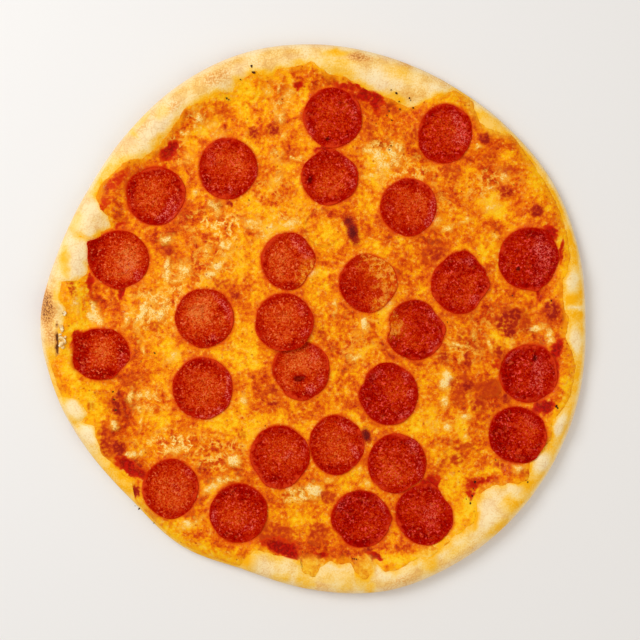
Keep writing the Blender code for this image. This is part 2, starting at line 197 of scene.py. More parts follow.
def add(tree, kind, inputs=None, **settings):
    """A new node with these settings, its inputs set to values or joined to other nodes' outputs."""
    made = tree.nodes.new(kind)
    for name, value in settings.items():
        setattr(made, name, value)
    for name, value in (inputs or {}).items():
        if isinstance(value, bpy.types.NodeSocket):
            tree.links.new(value, made.inputs[name])
        else:
            made.inputs[name].default_value = value
    return made


def attribute(tree, name):
    return add(tree, "ShaderNodeAttribute", attribute_name=name).outputs["Fac"]


def math_node(tree, operation, a, b=0.0, clamp=False):
    return add(tree, "ShaderNodeMath", {0: a, 1: b}, operation=operation, use_clamp=clamp).outputs[0]


def times(tree, a, b, clamp=False):
    return math_node(tree, "MULTIPLY", a, b, clamp)


def plus(tree, a, b):
    return math_node(tree, "ADD", a, b)


def swing(tree, value, amount, middle=0.5):
    """A value around the middle, turned into this share of it above or below zero."""
    return times(tree, math_node(tree, "SUBTRACT", value, middle), amount)


def blend(tree, factor, a, b):
    return add(tree, "ShaderNodeMix", {0: factor, 6: a, 7: b}, data_type="RGBA").outputs[2]


def spread(tree, value, low, high, to_low=0.0, to_high=1.0):
    """The value stretched from one range to another, softly held at both ends."""
    inputs = {"Value": value, "From Min": low, "From Max": high, "To Min": to_low, "To Max": to_high}
    return add(tree, "ShaderNodeMapRange", inputs, interpolation_type="SMOOTHSTEP").outputs[0]


def ramp(tree, value, stops):
    made = add(tree, "ShaderNodeValToRGB", {"Fac": value})
    stripe = made.color_ramp
    while len(stripe.elements) < len(stops):
        stripe.elements.new(1.0)
    for element, (place, color) in zip(stripe.elements, stops):
        element.position = place
        element.color = color
    return made.outputs["Color"]


def texture_group(name, inputs, outputs):
    """A group with these inputs and outputs, and the place on the piece moved by its seed."""
    group = bpy.data.node_groups.new(name, "ShaderNodeTree")
    for input_name, value in inputs.items():
        socket = group.interface.new_socket(input_name, in_out="INPUT", socket_type="NodeSocketFloat")
        socket.default_value = value
    for output_name in outputs:
        group.interface.new_socket(output_name, in_out="OUTPUT", socket_type="NodeSocketFloat")
    given = group.nodes.new("NodeGroupInput").outputs
    place = add(group, "ShaderNodeTexCoord").outputs["Object"]
    shift = add(group, "ShaderNodeCombineXYZ", {"X": given["Seed"], "Y": given["Seed"], "Z": given["Seed"]})
    moved = add(group, "ShaderNodeVectorMath", {0: place, 1: shift.outputs[0]}, operation="ADD").outputs[0]
    return group, given, moved


def grain_group():
    """Fine and coarse unevenness in millimetres, for every baked or melted surface of the pizza."""
    sizes = {"Coarse size": 6.0, "Fine size": 1.2, "Seed": 0.0}
    group, given, moved = texture_group("Baked grain", sizes, ("Coarse", "Fine", "Height"))
    coarse_scale = math_node(group, "DIVIDE", 1000.0, given["Coarse size"])
    fine_scale = math_node(group, "DIVIDE", 1000.0, given["Fine size"])
    coarse = add(group, "ShaderNodeTexNoise", {"Vector": moved, "Scale": coarse_scale, "Detail": 3.0})
    fine = add(group, "ShaderNodeTexNoise", {"Vector": moved, "Scale": fine_scale, "Detail": 2.0})
    both = math_node(group, "MULTIPLY_ADD", coarse.outputs[0], 1.6)
    group.links.new(fine.outputs[0], both.node.inputs[2])
    add(group, "NodeGroupOutput", {"Coarse": coarse.outputs[0], "Fine": fine.outputs[0], "Height": both})
    return group


baked_grain = grain_group()


def grain_at(tree, coarse, fine, seed=0.0):
    """The baked grain with its coarse and fine sizes in millimetres."""
    sizes = {"Coarse size": coarse, "Fine size": fine, "Seed": seed}
    return add(tree, "ShaderNodeGroup", node_tree=baked_grain, inputs=sizes).outputs


def grain_bump(tree, shader, grain, strength, height):
    bump = add(tree, "ShaderNodeBump", {"Height": grain["Height"], "Strength": strength, "Distance": height})
    tree.links.new(bump.outputs[0], shader.inputs["Normal"])


def placed(name, data):
    made = bpy.data.objects.new(name, data)
    bpy.context.scene.collection.objects.link(made)
    return made


def store(mesh, name, values, kind="FLOAT", field="value"):
    """Values kept at every point of the mesh under a name."""
    layer = mesh.attributes.new(name, kind, "POINT")
    layer.data.foreach_set(field, np.asarray(values, np.float32).ravel())


def start_material(name):
    made = bpy.data.materials.new(name)
    made.use_nodes = True
    tree = made.node_tree
    return made, tree, tree.nodes["Principled BSDF"]


def mesh_piece(name, points, faces, finish, masks):
    """A smooth piece from points in millimetres, with a mask at every point for each kind of colouring."""
    mesh = bpy.data.meshes.new(name)
    mesh.from_pydata((np.asarray(points) * MM).tolist(), [], faces)
    mesh.materials.append(finish)
    mesh.shade_smooth()
    for mask, values in masks.items():
        store(mesh, mask, values)
    return placed(name, mesh)


def ring_faces(lower, upper):
    count = len(lower)
    return [(lower[i], lower[(i + 1) % count], upper[(i + 1) % count], upper[i]) for i in range(count)]


CRUST_SEGMENTS = 720
around = np.arange(CRUST_SEGMENTS) * 360.0 / CRUST_SEGMENTS
edge = edge_radius(around)
unit_x, unit_y = np.cos(np.radians(around)), np.sin(np.radians(around))
side_height = dough_top(edge * unit_x, edge * unit_y)
crust_rings = []
for part in (0.06, 0.2, 0.4, 0.6, 0.75, 0.9, 1.0):
    radius = (edge - BASE_INSET) * part
    crust_rings.append(np.stack([radius * unit_x, radius * unit_y, np.zeros_like(edge)], axis=1))
for turn in np.radians((18, 36, 54, 72)):
    radius = edge - BASE_INSET * (1 - math.sin(turn))
    height = side_height * (1 - math.cos(turn))
    crust_rings.append(np.stack([radius * unit_x, radius * unit_y, height], axis=1))
insets = [RIM_CREST * (1 - math.cos(math.radians(a))) for a in np.linspace(0, 90, 20)]
insets += list(np.linspace(RIM_CREST, RIM_FOOT, 30)[1:])
for inset in insets:
    x, y = (edge - inset) * unit_x, (edge - inset) * unit_y
    z = dough_top(x, y)
    on_top = smoothstep((inset - 2) / 4)
    z = z + on_top * (0.22 * wave(x, y, 3.4, 8.1) + 0.10 * wave(x, y, 1.5, 6.6))
    tear_x, tear_y = (x - TEAR_PLACE[0]) / (TEAR_WIDTH / 2), (y - TEAR_PLACE[1]) / (TEAR_LENGTH / 2)
    z = z - TEAR_DEPTH * smoothstep(1.4 - np.hypot(tear_x, tear_y))
    crust_rings.append(np.stack([x, y, z], axis=1))
for part in (0.75, 0.5, 0.25, 0.06):
    radius = (edge - RIM_FOOT) * part
    height = np.full_like(edge, BASE_THICKNESS)
    crust_rings.append(np.stack([radius * unit_x, radius * unit_y, height], axis=1))
crust_points = np.concatenate(crust_rings + [np.array([[0, 0, 0.0], [0, 0, BASE_THICKNESS]])])
index = np.arange(len(crust_rings) * CRUST_SEGMENTS).reshape(-1, CRUST_SEGMENTS).tolist()
crust_faces = [face for low, high in zip(index, index[1:]) for face in ring_faces(low, high)]
under_middle, top_middle = len(crust_points) - 2, len(crust_points) - 1
for i in range(CRUST_SEGMENTS):
    j = (i + 1) % CRUST_SEGMENTS
    crust_faces.append((under_middle, index[0][j], index[0][i]))
    crust_faces.append((index[-1][i], index[-1][j], top_middle))

x, y, z = crust_points.T
degrees = np.degrees(np.arctan2(y, x))
inset = edge_radius(degrees) - np.hypot(x, y)
upper = smoothstep((z - 3.5) / 3)
from_cheese = inset - bare_width(degrees)
ragged = 2.6 * wave(x, y, 9, 3.3) + 1.6 * wave(x, y, 3.5, 5.1)
stain = smoothstep((from_cheese + 6.0 + 1.3 * ragged) / 7.5) * upper
stain = np.maximum(stain, patches(x + ragged, y + ragged, STAINED, 0.7) * upper)
for first, last, middle, width, strength in SOAKED_RIM:
    turned = (degrees - first) % 360
    along = smoothstep(turned / 5) * smoothstep((last - first - turned) / 5)
    across = smoothstep((1.25 - np.abs(inset + 0.4 * ragged - middle) / width) / 0.5)
    stain = np.maximum(stain, strength * along * across * upper)
bare = patches(x + 0.6 * ragged, y - 0.6 * ragged, BARE_SPOTS, 0.6)
stain = stain * (1 - bare * smoothstep((-from_cheese - 0.2) / 2.8))
browned = patches(x + 0.5 * ragged, y + 0.5 * ragged, BROWNED, 0.8)
outer_tan = smoothstep((4.5 - inset + 0.6 * ragged) / 4.5) * upper * 0.15
under = 1 - smoothstep((z - 0.4) / 3.0)
flour_and_painted_light = np.maximum(bare, patches(x + ragged, y - ragged, FLOURY, 0.6))
# Partly painted light: a pale band along the outer 5 mm of the top, partly the dough's floury edge and partly
# lightening the outer slope that the lamps leave in shade.
flour_and_painted_light = np.maximum(flour_and_painted_light, 0.75 * smoothstep((5 - inset + 0.5 * ragged) / 4) * upper)
smeared = patches(x + 0.4 * ragged, y + 0.4 * ragged, SMEARED, 0.5)
masks = {
    "stain": stain, "browned": browned, "outer_tan": outer_tan,
    "underside": under, "flour_and_painted_light": flour_and_painted_light, "smeared": smeared,
}

crust_finish, tree, shader = start_material("baked_crust")
grain = grain_at(tree, 11.0, 1.1)
coarse, fine = grain["Coarse"], grain["Fine"]
dough_tone = plus(tree, coarse, swing(tree, fine, 0.5))
flour = ramp(tree, dough_tone, (
    (0.30, srgb(255, 226, 164)), (0.44, srgb(252, 214, 138)),
    (0.56, srgb(247, 198, 108)), (0.72, srgb(234, 170, 76)),
))
speck = spread(tree, fine, 0.55, 0.66)
# Pale flour colour, which also carries the painted light along the outer edge.
color = blend(tree, times(tree, attribute(tree, "flour_and_painted_light"), 0.76), flour, srgb(255, 234, 188))
color = blend(tree, times(tree, speck, 0.28), color, srgb(230, 164, 80))
color = blend(tree, attribute(tree, "outer_tan"), color, srgb(240, 186, 130))
browned_here = attribute(tree, "browned")
crazing = add(tree, "ShaderNodeTexVoronoi", {
    "Vector": add(tree, "ShaderNodeTexCoord").outputs["Object"], "Scale": 210.0,
}, feature="DISTANCE_TO_EDGE")
crack = times(tree, spread(tree, crazing.outputs["Distance"], 0.09, 0.0), spread(tree, coarse, 0.46, 0.56))
crack = times(tree, crack, spread(tree, browned_here, 0.0, 0.3, 0.25, 0.7))
color = blend(tree, crack, color, srgb(214, 146, 66))
brown_edge = times(tree, browned_here, spread(tree, fine, 0.34, 0.62, 0.5, 1.15))
color = blend(tree, spread(tree, brown_edge, 0.0, 0.55, 0.0, 0.9), color, ramp(tree, brown_edge, (
    (0.2, srgb(248, 200, 120)), (0.5, srgb(236, 166, 82)), (0.8, srgb(200, 124, 56)), (1.0, srgb(138, 74, 36)),
)))
stain_deep = times(tree, attribute(tree, "stain"), spread(tree, dough_tone, 0.3, 0.7, 0.72, 1.1), clamp=True)
color = blend(tree, stain_deep, color, ramp(tree, stain_deep, (
    (0.15, srgb(255, 212, 96)), (0.5, srgb(255, 198, 20)), (0.8, srgb(255, 188, 0)), (1.0, srgb(252, 176, 0)),
)))
color = blend(tree, spread(tree, attribute(tree, "smeared"), 0.0, 0.4), color, srgb(216, 56, 0))
color = blend(tree, spread(tree, attribute(tree, "smeared"), 0.25, 0.8), color, srgb(156, 4, 0))
oven_floor = ramp(tree, plus(tree, coarse, times(tree, fine, 0.35)), (
    (0.50, srgb(240, 212, 160)), (0.62, srgb(212, 158, 92)), (0.72, srgb(168, 104, 48)), (0.86, srgb(96, 54, 26)),
))
color = blend(tree, attribute(tree, "underside"), color, oven_floor)
place = add(tree, "ShaderNodeTexCoord").outputs["Object"]
tear_frame = add(tree, "ShaderNodeMapping", {
    "Vector": place,
    "Location": (-TEAR_PLACE[0] / (TEAR_WIDTH / 2), -TEAR_PLACE[1] / (TEAR_LENGTH / 2), 0.0),
    "Scale": (1000 / (TEAR_WIDTH / 2), 1000 / (TEAR_LENGTH / 2), 0.0),
})
tear_reach = add(tree, "ShaderNodeVectorMath", {0: tear_frame.outputs[0]}, operation="LENGTH").outputs["Value"]
ragged_edge = add(tree, "ShaderNodeTexNoise", {"Vector": place, "Scale": 300.0, "Detail": 2.0})
tear_reach = plus(tree, tear_reach, swing(tree, ragged_edge.outputs[0], 3.2))
color = blend(tree, spread(tree, tear_reach, 1.9, 1.1, 0.0, 0.7), color, srgb(214, 140, 62))
color = blend(tree, spread(tree, tear_reach, 1.1, 0.5, 0.0, 0.9), color, srgb(98, 46, 16))
tree.links.new(color, shader.inputs["Base Color"])
shader.inputs["Roughness"].default_value = 0.72
shader.inputs["Specular IOR Level"].default_value = 0.15
grain_bump(tree, shader, grain, 0.5, 0.0006)

crust = mesh_piece("crust_dough", crust_points, crust_faces, crust_finish, masks)
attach(crust, "root")
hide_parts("crust")


# Cheese: grated mozzarella melted over thin tomato sauce into one sheet that runs up the rim. It is yellow
# and orange from the oil, with pale threads, red places where sauce comes through, and brown blisters.

CHEESE_THICKNESS = 2.9
CHEESE_EDGE_THICKNESS = 0.8
CHEESE_BOTTOM = BASE_THICKNESS - 2.0
CHEESE_RINGS = 150
CHEESE_EDGE_RINGS = 26
SLICE_THICKNESS = 1.8
SLICE_SINK = 1.0
SLICES = (
    (13, 132.5, 38.5, 39.5), (11, 93.5, 37.5, 37), (87, 122, 34.5, 38), (-56, 99, 39, 40),
    (-103.5, 81, 39, 38.5), (63, 74, 37, 38), (142, 39.5, 39, 41), (-128, 39.5, 40, 37.5),
    (-16, 38, 36, 38), (36.5, 23.5, 38.5, 38.5), (97, 24, 37.5, 41), (-71.5, 0.5, 38.5, 39),
    (-19, -2, 38.5, 38), (67.5, -7.5, 38, 39.5), (-139.5, -23, 37, 34.5), (-8, -34, 37.5, 38.5),
    (-72.5, -46, 40, 40.5), (50, -49.5, 38.5, 40.5), (142, -36, 38, 38.5), (134.5, -76.5, 37, 37),
    (-22, -91, 39, 42), (15.5, -83, 36, 39.5), (55.5, -95.5, 38, 39.5), (-93.5, -111.5, 36.5, 38),
    (-49, -128, 37.5, 38.5), (31.5, -132, 39, 37.5), (73, -129, 38, 39),
)
# Where each slice's outline leaves that ellipse, as (angle, half width of the place in degrees, millimetres out).
SLICE_OUTLINES = (
    ((235, 30, -0.8),), ((90, 14, 1.0), (48, 24, -1.6), (135, 25, -1.0), (300, 25, -0.6)), ((225, 30, 1.2),),
    ((320, 22, -0.9), (100, 16, 0.5)), ((325, 22, -1.2), (150, 18, 0.7)), ((75, 20, -0.8), (120, 18, -0.7), (350, 12, 0.5)),
    ((55, 14, 1.8), (335, 30, -1.0), (285, 8, 1.2), (170, 14, -0.6)),
    ((150, 9, 3.0), (170, 14, 1.0), (268, 14, 1.0), (45, 20, -0.6)), ((40, 18, -1.3), (325, 26, -2.6)),
    ((320, 30, -1.5), (60, 25, -1.0), (100, 10, 0.6)),
    ((80, 9, 1.2), (45, 16, -1.8), (130, 22, -2.2), (356, 10, 0.8), (318, 18, -2.0), (200, 16, 0.8), (15, 8, -0.8)),
    ((55, 15, 0.5), (200, 14, -0.5)), ((260, 15, 0.5), (170, 14, -0.4)),
    ((176, 14, -2.6), (38, 20, -2.2), (4, 12, 0.8), (200, 8, 0.6)),
    ((145, 12, 3.0), (205, 14, 1.4), (318, 22, -1.6), (90, 15, -0.8)), ((218, 18, -1.6), (178, 8, 0.6)),
    ((100, 15, 0.4), (300, 14, -0.5), (355, 24, -0.9)), ((155, 12, -1.4), (185, 12, 0.8), (60, 14, -0.7)),
    ((60, 16, 0.7), (300, 15, -0.9), (115, 14, -0.8)), ((140, 15, 0.5), (20, 12, -0.4)),
    ((218, 20, -1.6), (310, 18, -1.4), (45, 15, -0.6)), ((60, 20, -0.7), (305, 18, -0.8)),
    ((305, 18, -1.6), (70, 15, -0.6)), ((230, 18, -0.8), (45, 16, -0.6)), ((150, 15, -0.6), (20, 12, 0.5)),
    ((2, 9, 1.3), (218, 18, -1.8), (45, 18, -0.9)),
    ((78, 12, 1.6), (38, 20, -2.4), (338, 16, 1.0), (215, 30, -1.0), (130, 15, -0.8)),
)
UPPER_SLICE, LOWER_SLICE = 13, 16
UPPER_LIFT = 1.0
UPPER_TILT = 5.0
LOWER_TILT = 2.0
BLISTERS = (
    (131, 0, 13, 1.3), (158, 5, 8, 1.0), (127, 84, 6, 0.8), (118, 109, 6, 0.9), (148, 72, 5, 0.7),
    (102, -44, 7, 0.9), (108, -57, 5, 0.7), (97, -94, 5, 0.8), (-45, 122, 6, 0.9), (-33, 125, 5, 0.8),
    (-118, -113, 5, 0.9), (-128, -82, 6, 0.7), (35, -78, 4, 1.2), (-52, -93, 9, 0.9), (0, -114, 7, 1.0),
    (-120, 0, 12, 0.8), (-70, 40, 12, 0.7), (48, 108, 8, 0.7), (90, -37, 8, 0.8), (26, 57, 6, 0.9),
)

# Where the sheet shows another colour, as (x, y, half length, half width, turn, strength).
SAUCE_SHOWS = (
    (-93, 113, 4, 3.6, 40, 1.0), (-96, 109, 4, 3, 60, 0.8), (34, 148, 3, 5, 30, 0.8), (41, 143, 2.6, 7, 15, 0.8),
    (24, 153, 9, 2.2, -8, 0.6), (-17, -151, 8, 4, -20, 1.0), (-25, -148, 8, 3.5, -8, 0.8), (6, -155, 4, 1.2, 0, 0.9),
    (40, -156, 5, 2, -15, 0.8), (-122, -96, 7, 3.5, -32, 1.0), (-114, -101, 6, 3, -25, 0.8), (-154, -13, 3.4, 5, 0, 0.9),
    (-138, 74, 6, 3, 45, 0.35), (151, -58, 7, 3.5, 20, 1.0), (160, -20, 3, 6, -25, 1.0), (77, -107, 7, 2.5, 25, 0.7),
    (-128, 92, 8, 3, 40, 0.45), (159.5, -34, 1.5, 10, -4, 0.7), (106, -109, 4, 3, 30, 0.6), (113, -107, 7, 1.6, 20, 0.6),
    (103, -115, 2.4, 4, 0, 0.45), (-10, 154, 3, 2.5, 0, 0.7), (155, 57, 4.5, 5, 0, 0.9),
    (163, 44, 1.6, 8, 0, 0.6), (149, 16.5, 1.2, 3.5, 0, 0.8), (-127.5, 17, 2, 5, 0, 0.7), (-153, -15, 3.6, 4, 0, 1.0),
    (7, 112.5, 7, 1.8, 0, 0.8), (30, 147, 8, 2.4, -20, 0.65), (79.5, -111, 3.4, 4.5, 0, 0.9), (-147, 24, 2, 6, 0, 0.6),
    (-99, 99, 2, 3, -20, 0.4), (-129, 62, 5, 2, 30, 0.5), (121, -30, 2.5, 4, 0, 0.4), (-131, 89, 3, 3, 0, 0.4),
)
BROWN_BLISTERS = (
    (128, -1, 9, 8, 20, 0.75), (133, 3, 5, 4, 0, 1.0), (130, -9, 4, 4, 0, 1.0), (140, -3, 4, 8, 10, 0.55),
    (157, 5, 5.5, 6.5, 0, 1.0), (113, 118.5, 4, 4, 0, 1.0), (117, 106, 4, 5, 0, 0.5), (127, 84, 6, 3.5, -15, 0.8),
    (147, 71, 4.5, 4.5, 0, 0.9), (99, -12.5, 4.5, 4.5, 0, 0.45), (86, -25, 4.5, 4.5, 0, 0.6), (102, -26, 3, 6, 10, 0.75),
    (123, -22, 4, 5, 20, 0.65), (108, -18, 5, 3, 0, 0.45), (98, -45, 8, 9, 0, 0.55), (102, -44, 4, 4, 0, 0.9),
    (109, -57, 5, 5, 0, 0.7), (115, -45, 9, 6, 0, 0.55), (127, -52, 3.5, 3.5, 0, 0.9), (100, -84, 8, 2.6, 12, 0.5),
    (96, -92, 6, 4, 40, 0.55), (85, -96, 2, 9, -35, 0.5), (123, -96, 3, 3, 0, 0.6), (141, -101, 3.5, 4, 0, 0.45),
    (-39.6, 122.8, 4, 4, 0, 0.75), (-26, 125, 4.5, 4.5, 0, 0.8), (-62, 137, 8, 4.5, 15, 0.35), (-55, 75.5, 2.5, 2.5, 0, 0.9),
    (-61, 22, 7, 3.5, 15, 0.5), (-51, 16, 3, 3, 0, 0.7), (-104, -4.6, 5, 4, 0, 0.4), (-120, -42, 6, 5, 20, 0.55),
    (-129, -57, 3, 9, 8, 0.85), (-136, -80, 5, 11, 12, 0.65), (-127, -85, 4, 6, 15, 0.95), (-146, -57, 2.5, 3.5, 10, 0.4),
    (-118, -113, 4.6, 4.6, 0, 1.0), (80.5, 43, 8, 6, 15, 0.65), (37, 124, 3, 7, 0, 0.5), (51, 137, 8, 2, -12, 0.5),
    (67, 122, 3.5, 4.5, 0, 0.5), (92, 95, 5, 5, 0, 0.5), (129, 98, 7, 4, -20, 0.45), (6, -10, 2.5, 7, 5, 0.5),
    (-26, -47, 4, 4, 0, 0.55), (-26, -55.5, 4, 1.2, 8, 1.0), (-33, -53, 1.2, 2.4, 20, 0.8), (10, -117.5, 6, 4.5, 0, 0.6),
    (3, -141, 7, 7, 0, 0.55), (-24, -142, 14, 8, -8, 0.5), (-47, -77, 3.5, 3.5, 0, 0.4), (36, -152, 4, 3, 0, 0.8),
    (-95, 45, 3.5, 3.5, 0, 0.7), (-5, 58, 4, 2.5, 20, 0.4), (-158, 20, 2.5, 8, 10, 0.5), (6.5, -155, 12, 2, 0, 0.4),
)
PALE_BLOBS = (
    (-96, 31, 2.6, 10, -4, 0.8), (-98, 9, 4, 7, 10, 0.6), (-113, 3, 2.8, 11, -18, 0.95), (-122, 0, 2.4, 7, -30, 0.7),
    (-145, 3, 3.6, 7, 0, 1.0), (-141, -2, 2.4, 5, 10, 0.8), (-64, 34, 3.6, 12, -37, 0.85), (-57, 49, 5, 3, 0, 0.8),
    (-70, 46, 4, 3, 20, 0.7), (-88, 26, 7, 3, 10, 0.55), (-111, -50, 9, 2.6, 10, 0.75), (-120, -50, 2, 6, 0, 0.7),
    (-114, -66, 1.6, 9, 0, 0.7), (-93, -25, 6, 4, 30, 0.6), (-112, -19, 1.6, 5, 25, 0.8), (-110, -59, 8, 2, 5, 0.5),
    (-118, -89, 7, 2.6, 12, 0.9), (-130, -70, 3, 2.4, -20, 0.9), (-52, -94, 4.5, 3.6, 0, 1.0), (-65, -110, 9, 3.4, 32, 0.8),
    (-54, -106, 8, 1.5, 10, 0.7), (0.7, -113.5, 6, 5, -20, 1.0), (-6, -117, 4, 2, -20, 0.9), (-13, -118, 5, 2, 30, 0.9),
    (-14, -113, 4, 1.8, 0, 0.8), (11, -106, 3.6, 2, 0, 0.7), (36, -109, 2.4, 3, 0, 0.7), (30, -98.5, 2.4, 2.4, 0, 0.7),
    (28.5, -25, 5, 3, 20, 0.7), (34, -4, 3.6, 4.5, 0, 0.9), (15, 8, 1.6, 7, 0, 0.6), (-1, 30, 4.5, 3, 10, 0.8),
    (42, 108, 4, 8, 12, 0.85), (53, 108, 4.5, 8, 25, 0.8), (39, 95, 9, 2, 5, 0.8), (126, 94, 3.4, 5, 10, 0.7),
    (117, 87, 5, 2.2, 10, 0.75), (118, 74, 6, 4, 20, 0.6), (108, 113, 3, 2, 40, 0.7), (88, -40, 3.6, 7, -5, 1.0),
    (87, -55, 2.6, 5, 0, 0.8), (89, -71, 3.4, 3, 0, 0.9), (100, -65, 4.5, 2.2, 0, 0.7), (100, -78, 4, 1.8, 0, 0.7),
    (148, -6, 6, 2.6, 15, 0.8), (156, -12, 2.4, 5, 0, 0.9), (97, -17.5, 7, 1.2, -10, 0.8), (107, -10, 2, 5, 20, 0.5),
    (117, -17, 1.4, 6, 15, 0.6), (131, -13.5, 1.6, 5, -20, 0.6), (89, 59, 4.5, 2, 25, 0.75), (120, 55, 3, 3, 0, 0.6),
    (101, 65, 6, 1.4, 20, 0.6), (-24, 108, 5, 3, 0, 0.6), (-10, 106, 4, 1.5, 5, 0.8), (-25, 138, 2, 8, 10, 0.6),
    (-17, 147, 5, 6, 0, 0.6), (-83, 107, 4, 5, 0, 0.5), (-84, 122, 3.4, 2, 0, 0.7), (-79, 83, 2.4, 3, 0, 0.8),
    (-63, 71, 2.2, 5, 0, 0.7), (-39, 63, 7, 4, 0, 0.7), (-35, -74, 8, 4, 20, 0.5), (136, -69, 9, 1.4, -12, 0.6),
    (-66, 128, 7, 2.4, 25, 0.5), (68, -20, 3, 2, 0, 0.6), (83, -83, 3, 2, 30, 0.4), (-20, 120, 4, 1.4, 60, 0.6),
    (-107, 12, 5, 6, 20, 0.6), (-30, 150, 3, 4, 0, 0.6), (-28, 60, 7, 3, 10, 0.7),
    (-156, 10, 3, 9, 5, 0.6), (-20, 103, 6, 2, 0, 0.5),
    (-103, 4, 7, 5, 0, 0.9), (-84, 34, 4, 6, 10, 0.8),
    (-96, 53, 5, 3, 20, 0.8), (-64, 76, 5, 3, 20, 0.7), (-75, 134, 3, 6, 35, 0.8),
    (-62, 120, 5, 5, 0, 0.6), (-20, 132, 3, 4, 0, 0.6), (46, 11, 3, 5, -30, 0.7),
    (-80, -134, 9, 2.6, 25, 0.8), (-45, -54, 3, 4, 0, 0.6),
    (120, -72, 4, 2.4, 0, 0.5), (135, -98, 4, 4, 30, 0.7), (-102, -104, 6, 2, 20, 0.4), (-90, -86, 9, 3, 10, 0.6),
    (38, 112, 5, 4, 0, 0.8), (48, 101, 7, 4, 30, 0.8), (57, 112, 3, 5, 0, 0.7),
    (-16, 62, 7, 4, 20, 0.7), (-32, 54, 5, 3, 0, 0.6),
    (-24, 92, 8, 3, 40, 0.6), (60, -22, 3, 4, 0, 0.6), (50, 8, 3, 6, -30, 0.6),
    (22, 33, 5, 3, 0, 0.6), (80, 64, 6, 3, 20, 0.6),
)
PALE_NETS = (
    (-100, 6, 24, 17, 20, 0.7), (-92, -82, 22, 8, 0, 0.8), (-62, 61, 20, 11, -8, 0.8), (-64, 38, 22, 14, 0, 0.5),
    (-64, -90, 16, 14, 0, 0.6), (52, 108, 10, 12, 0, 0.6), (95, -20, 20, 10, 0, 0.5), (-105, -52, 14, 10, 0, 0.6),
    (-19, 146, 9, 11, 0, 0.6), (115, 88, 22, 12, 10, 0.5), (30, -18, 14, 14, 0, 0.35), (-88, 112, 10, 12, 0, 0.5),
    (125, -8, 26, 14, 0, 0.4), (-10, -116, 10, 6, 0, 0.7), (-30, 90, 16, 16, 0, 0.3), (90, -70, 14, 8, 0, 0.4),
    (-60, -84, 34, 9, 0, 0.5), (-86, 24, 20, 12, 0, 0.6), (-75, 130, 10, 8, 40, 0.6),
    (86, -70, 16, 14, 0, 0.4), (60, 94, 20, 14, 0, 0.6),
    (-20, 62, 20, 14, 0, 0.6), (48, 106, 16, 12, 0, 0.7), (-28, 86, 18, 12, 0, 0.4),
    (36, 8, 14, 14, 0, 0.4), (84, 74, 14, 12, 0, 0.4),
)
YELLOW_AREAS = (
    (-40, 143, 15, 13, 0, 0.8), (-66, 129, 14, 5, 25, 1.0), (-40, 77, 13, 9, 0, 0.8), (-48, 111, 16, 5, 0, 0.5),
    (-45, -11, 14, 15, 0, 0.9), (-96, -18, 14, 14, 0, 0.7), (-144, -55, 14, 20, 0, 1.0), (-35, -73, 20, 9, 0, 0.8),
    (-46, 43, 11, 17, 0, 0.8), (-101, -65, 11, 9, 0, 0.8), (-55, -65, 18, 10, 0, 0.8), (11, 52, 14, 13, 0, 0.9),
    (38, 50, 10, 9, 0, 0.7), (3, 26, 9, 8, 0, 0.8), (-46, -27, 15, 12, 0, 0.8), (42, 92, 9, 16, 0, 0.6),
    (34, 73, 8, 10, 0, 0.7), (118, 75, 10, 9, 0, 0.9), (109, 47, 16, 11, 0, 0.8), (97, 66, 14, 6, 0, 0.5),
    (122, -12, 10, 9, 0, 0.9), (71, -70, 17, 8, 0, 0.9), (93, -71, 16, 10, 0, 0.6), (86, -91, 11, 9, 0, 0.7),
    (114, -99, 10, 8, 0, 0.8), (92, -109, 13, 13, 0, 1.0), (-65, -110, 9, 6, 30, 0.5), (-14, -129, 20, 10, 0, 0.8),
    (25, -106, 13, 7, 0, 0.7), (-55, -144, 20, 4, -20, 0.4), (77, -44, 8, 16, 0, 0.5), (-150, 55, 6, 14, 10, 0.6),
    (163, 40, 5, 26, 0, 0.7), (164, -36, 5, 20, 0, 0.5), (150, 90, 7, 26, 25, 0.5), (-88, -148, 26, 6, -35, 0.9),
    (-118, -113, 9, 18, 40, 0.8), (86, -121, 10, 9, 0, 0.5), (-70, 25, 30, 8, 0, 0.3), (-10, 80, 8, 20, 0, 0.3),
    (-154, 8, 7, 20, 5, 1.0), (62, 45, 10, 16, 0, 0.2), (15, -10, 8, 26, 0, 0.3), (-112, 62, 12, 8, 0, 0.3),
    (-22, 60, 13, 8, 0, 1.0), (-8, 74, 8, 7, 0, 0.8), (-20, 102, 9, 4, 0, 0.8),
    (-74, 55, 5, 8, 0, 0.7), (46, 10, 6, 8, 0, 0.8),
    (114, -33, 8, 6, 0, 0.7), (103, 88, 7, 9, 0, 0.8), (131, 63, 6, 8, 0, 0.7),
    (-60, -154, 20, 5, -18, 1.0), (22, -67, 16, 5, 0, 0.7),
    (-18, 157, 8, 5, 0, 1.0), (-66, 142, 9, 5, 30, 1.0), (-118, -82, 7, 5, 0, 0.8),
    (-98, -40, 8, 5, 0, 0.6), (-62, -80, 9, 4, 0, 0.7),
    (-158, -34, 7, 14, 10, 1.3), (-42, 14, 7, 5, 0, 0.6), (-32, -48, 5, 5, 0, 0.5),
    (53, -148, 6, 5, 0, 0.8), (-80, 118, 6, 6, 0, 0.7),
    (97, -128, 8, 17, -35, 1.25), (62, -158, 20, 5, 5, 1.2), (-158, -8, 5, 12, 0, 1.0),
    (-156, 22, 6, 7, 0, 1.0), (36, 152, 14, 3.5, -22, 0.9),
    (-10, 145, 4, 12, -8, 0.8), (-86, -136, 9, 6, -20, 0.8), (-137, 97, 4, 8, 40, 0.6),
    (20, -66, 12, 4, -20, 0.8), (126, 104, 5, 7, 30, 0.7),
    (90, 143, 16, 5, -15, 0.8), (-46, -54, 4, 6, 0, 0.6), (-14, 92, 5, 4, 0, 0.6),
    (160, -62, 3, 6, 0, 0.8), (120, -78, 8, 4, 0, 0.6), (-98, 92, 3, 6, 0, 0.4),
)
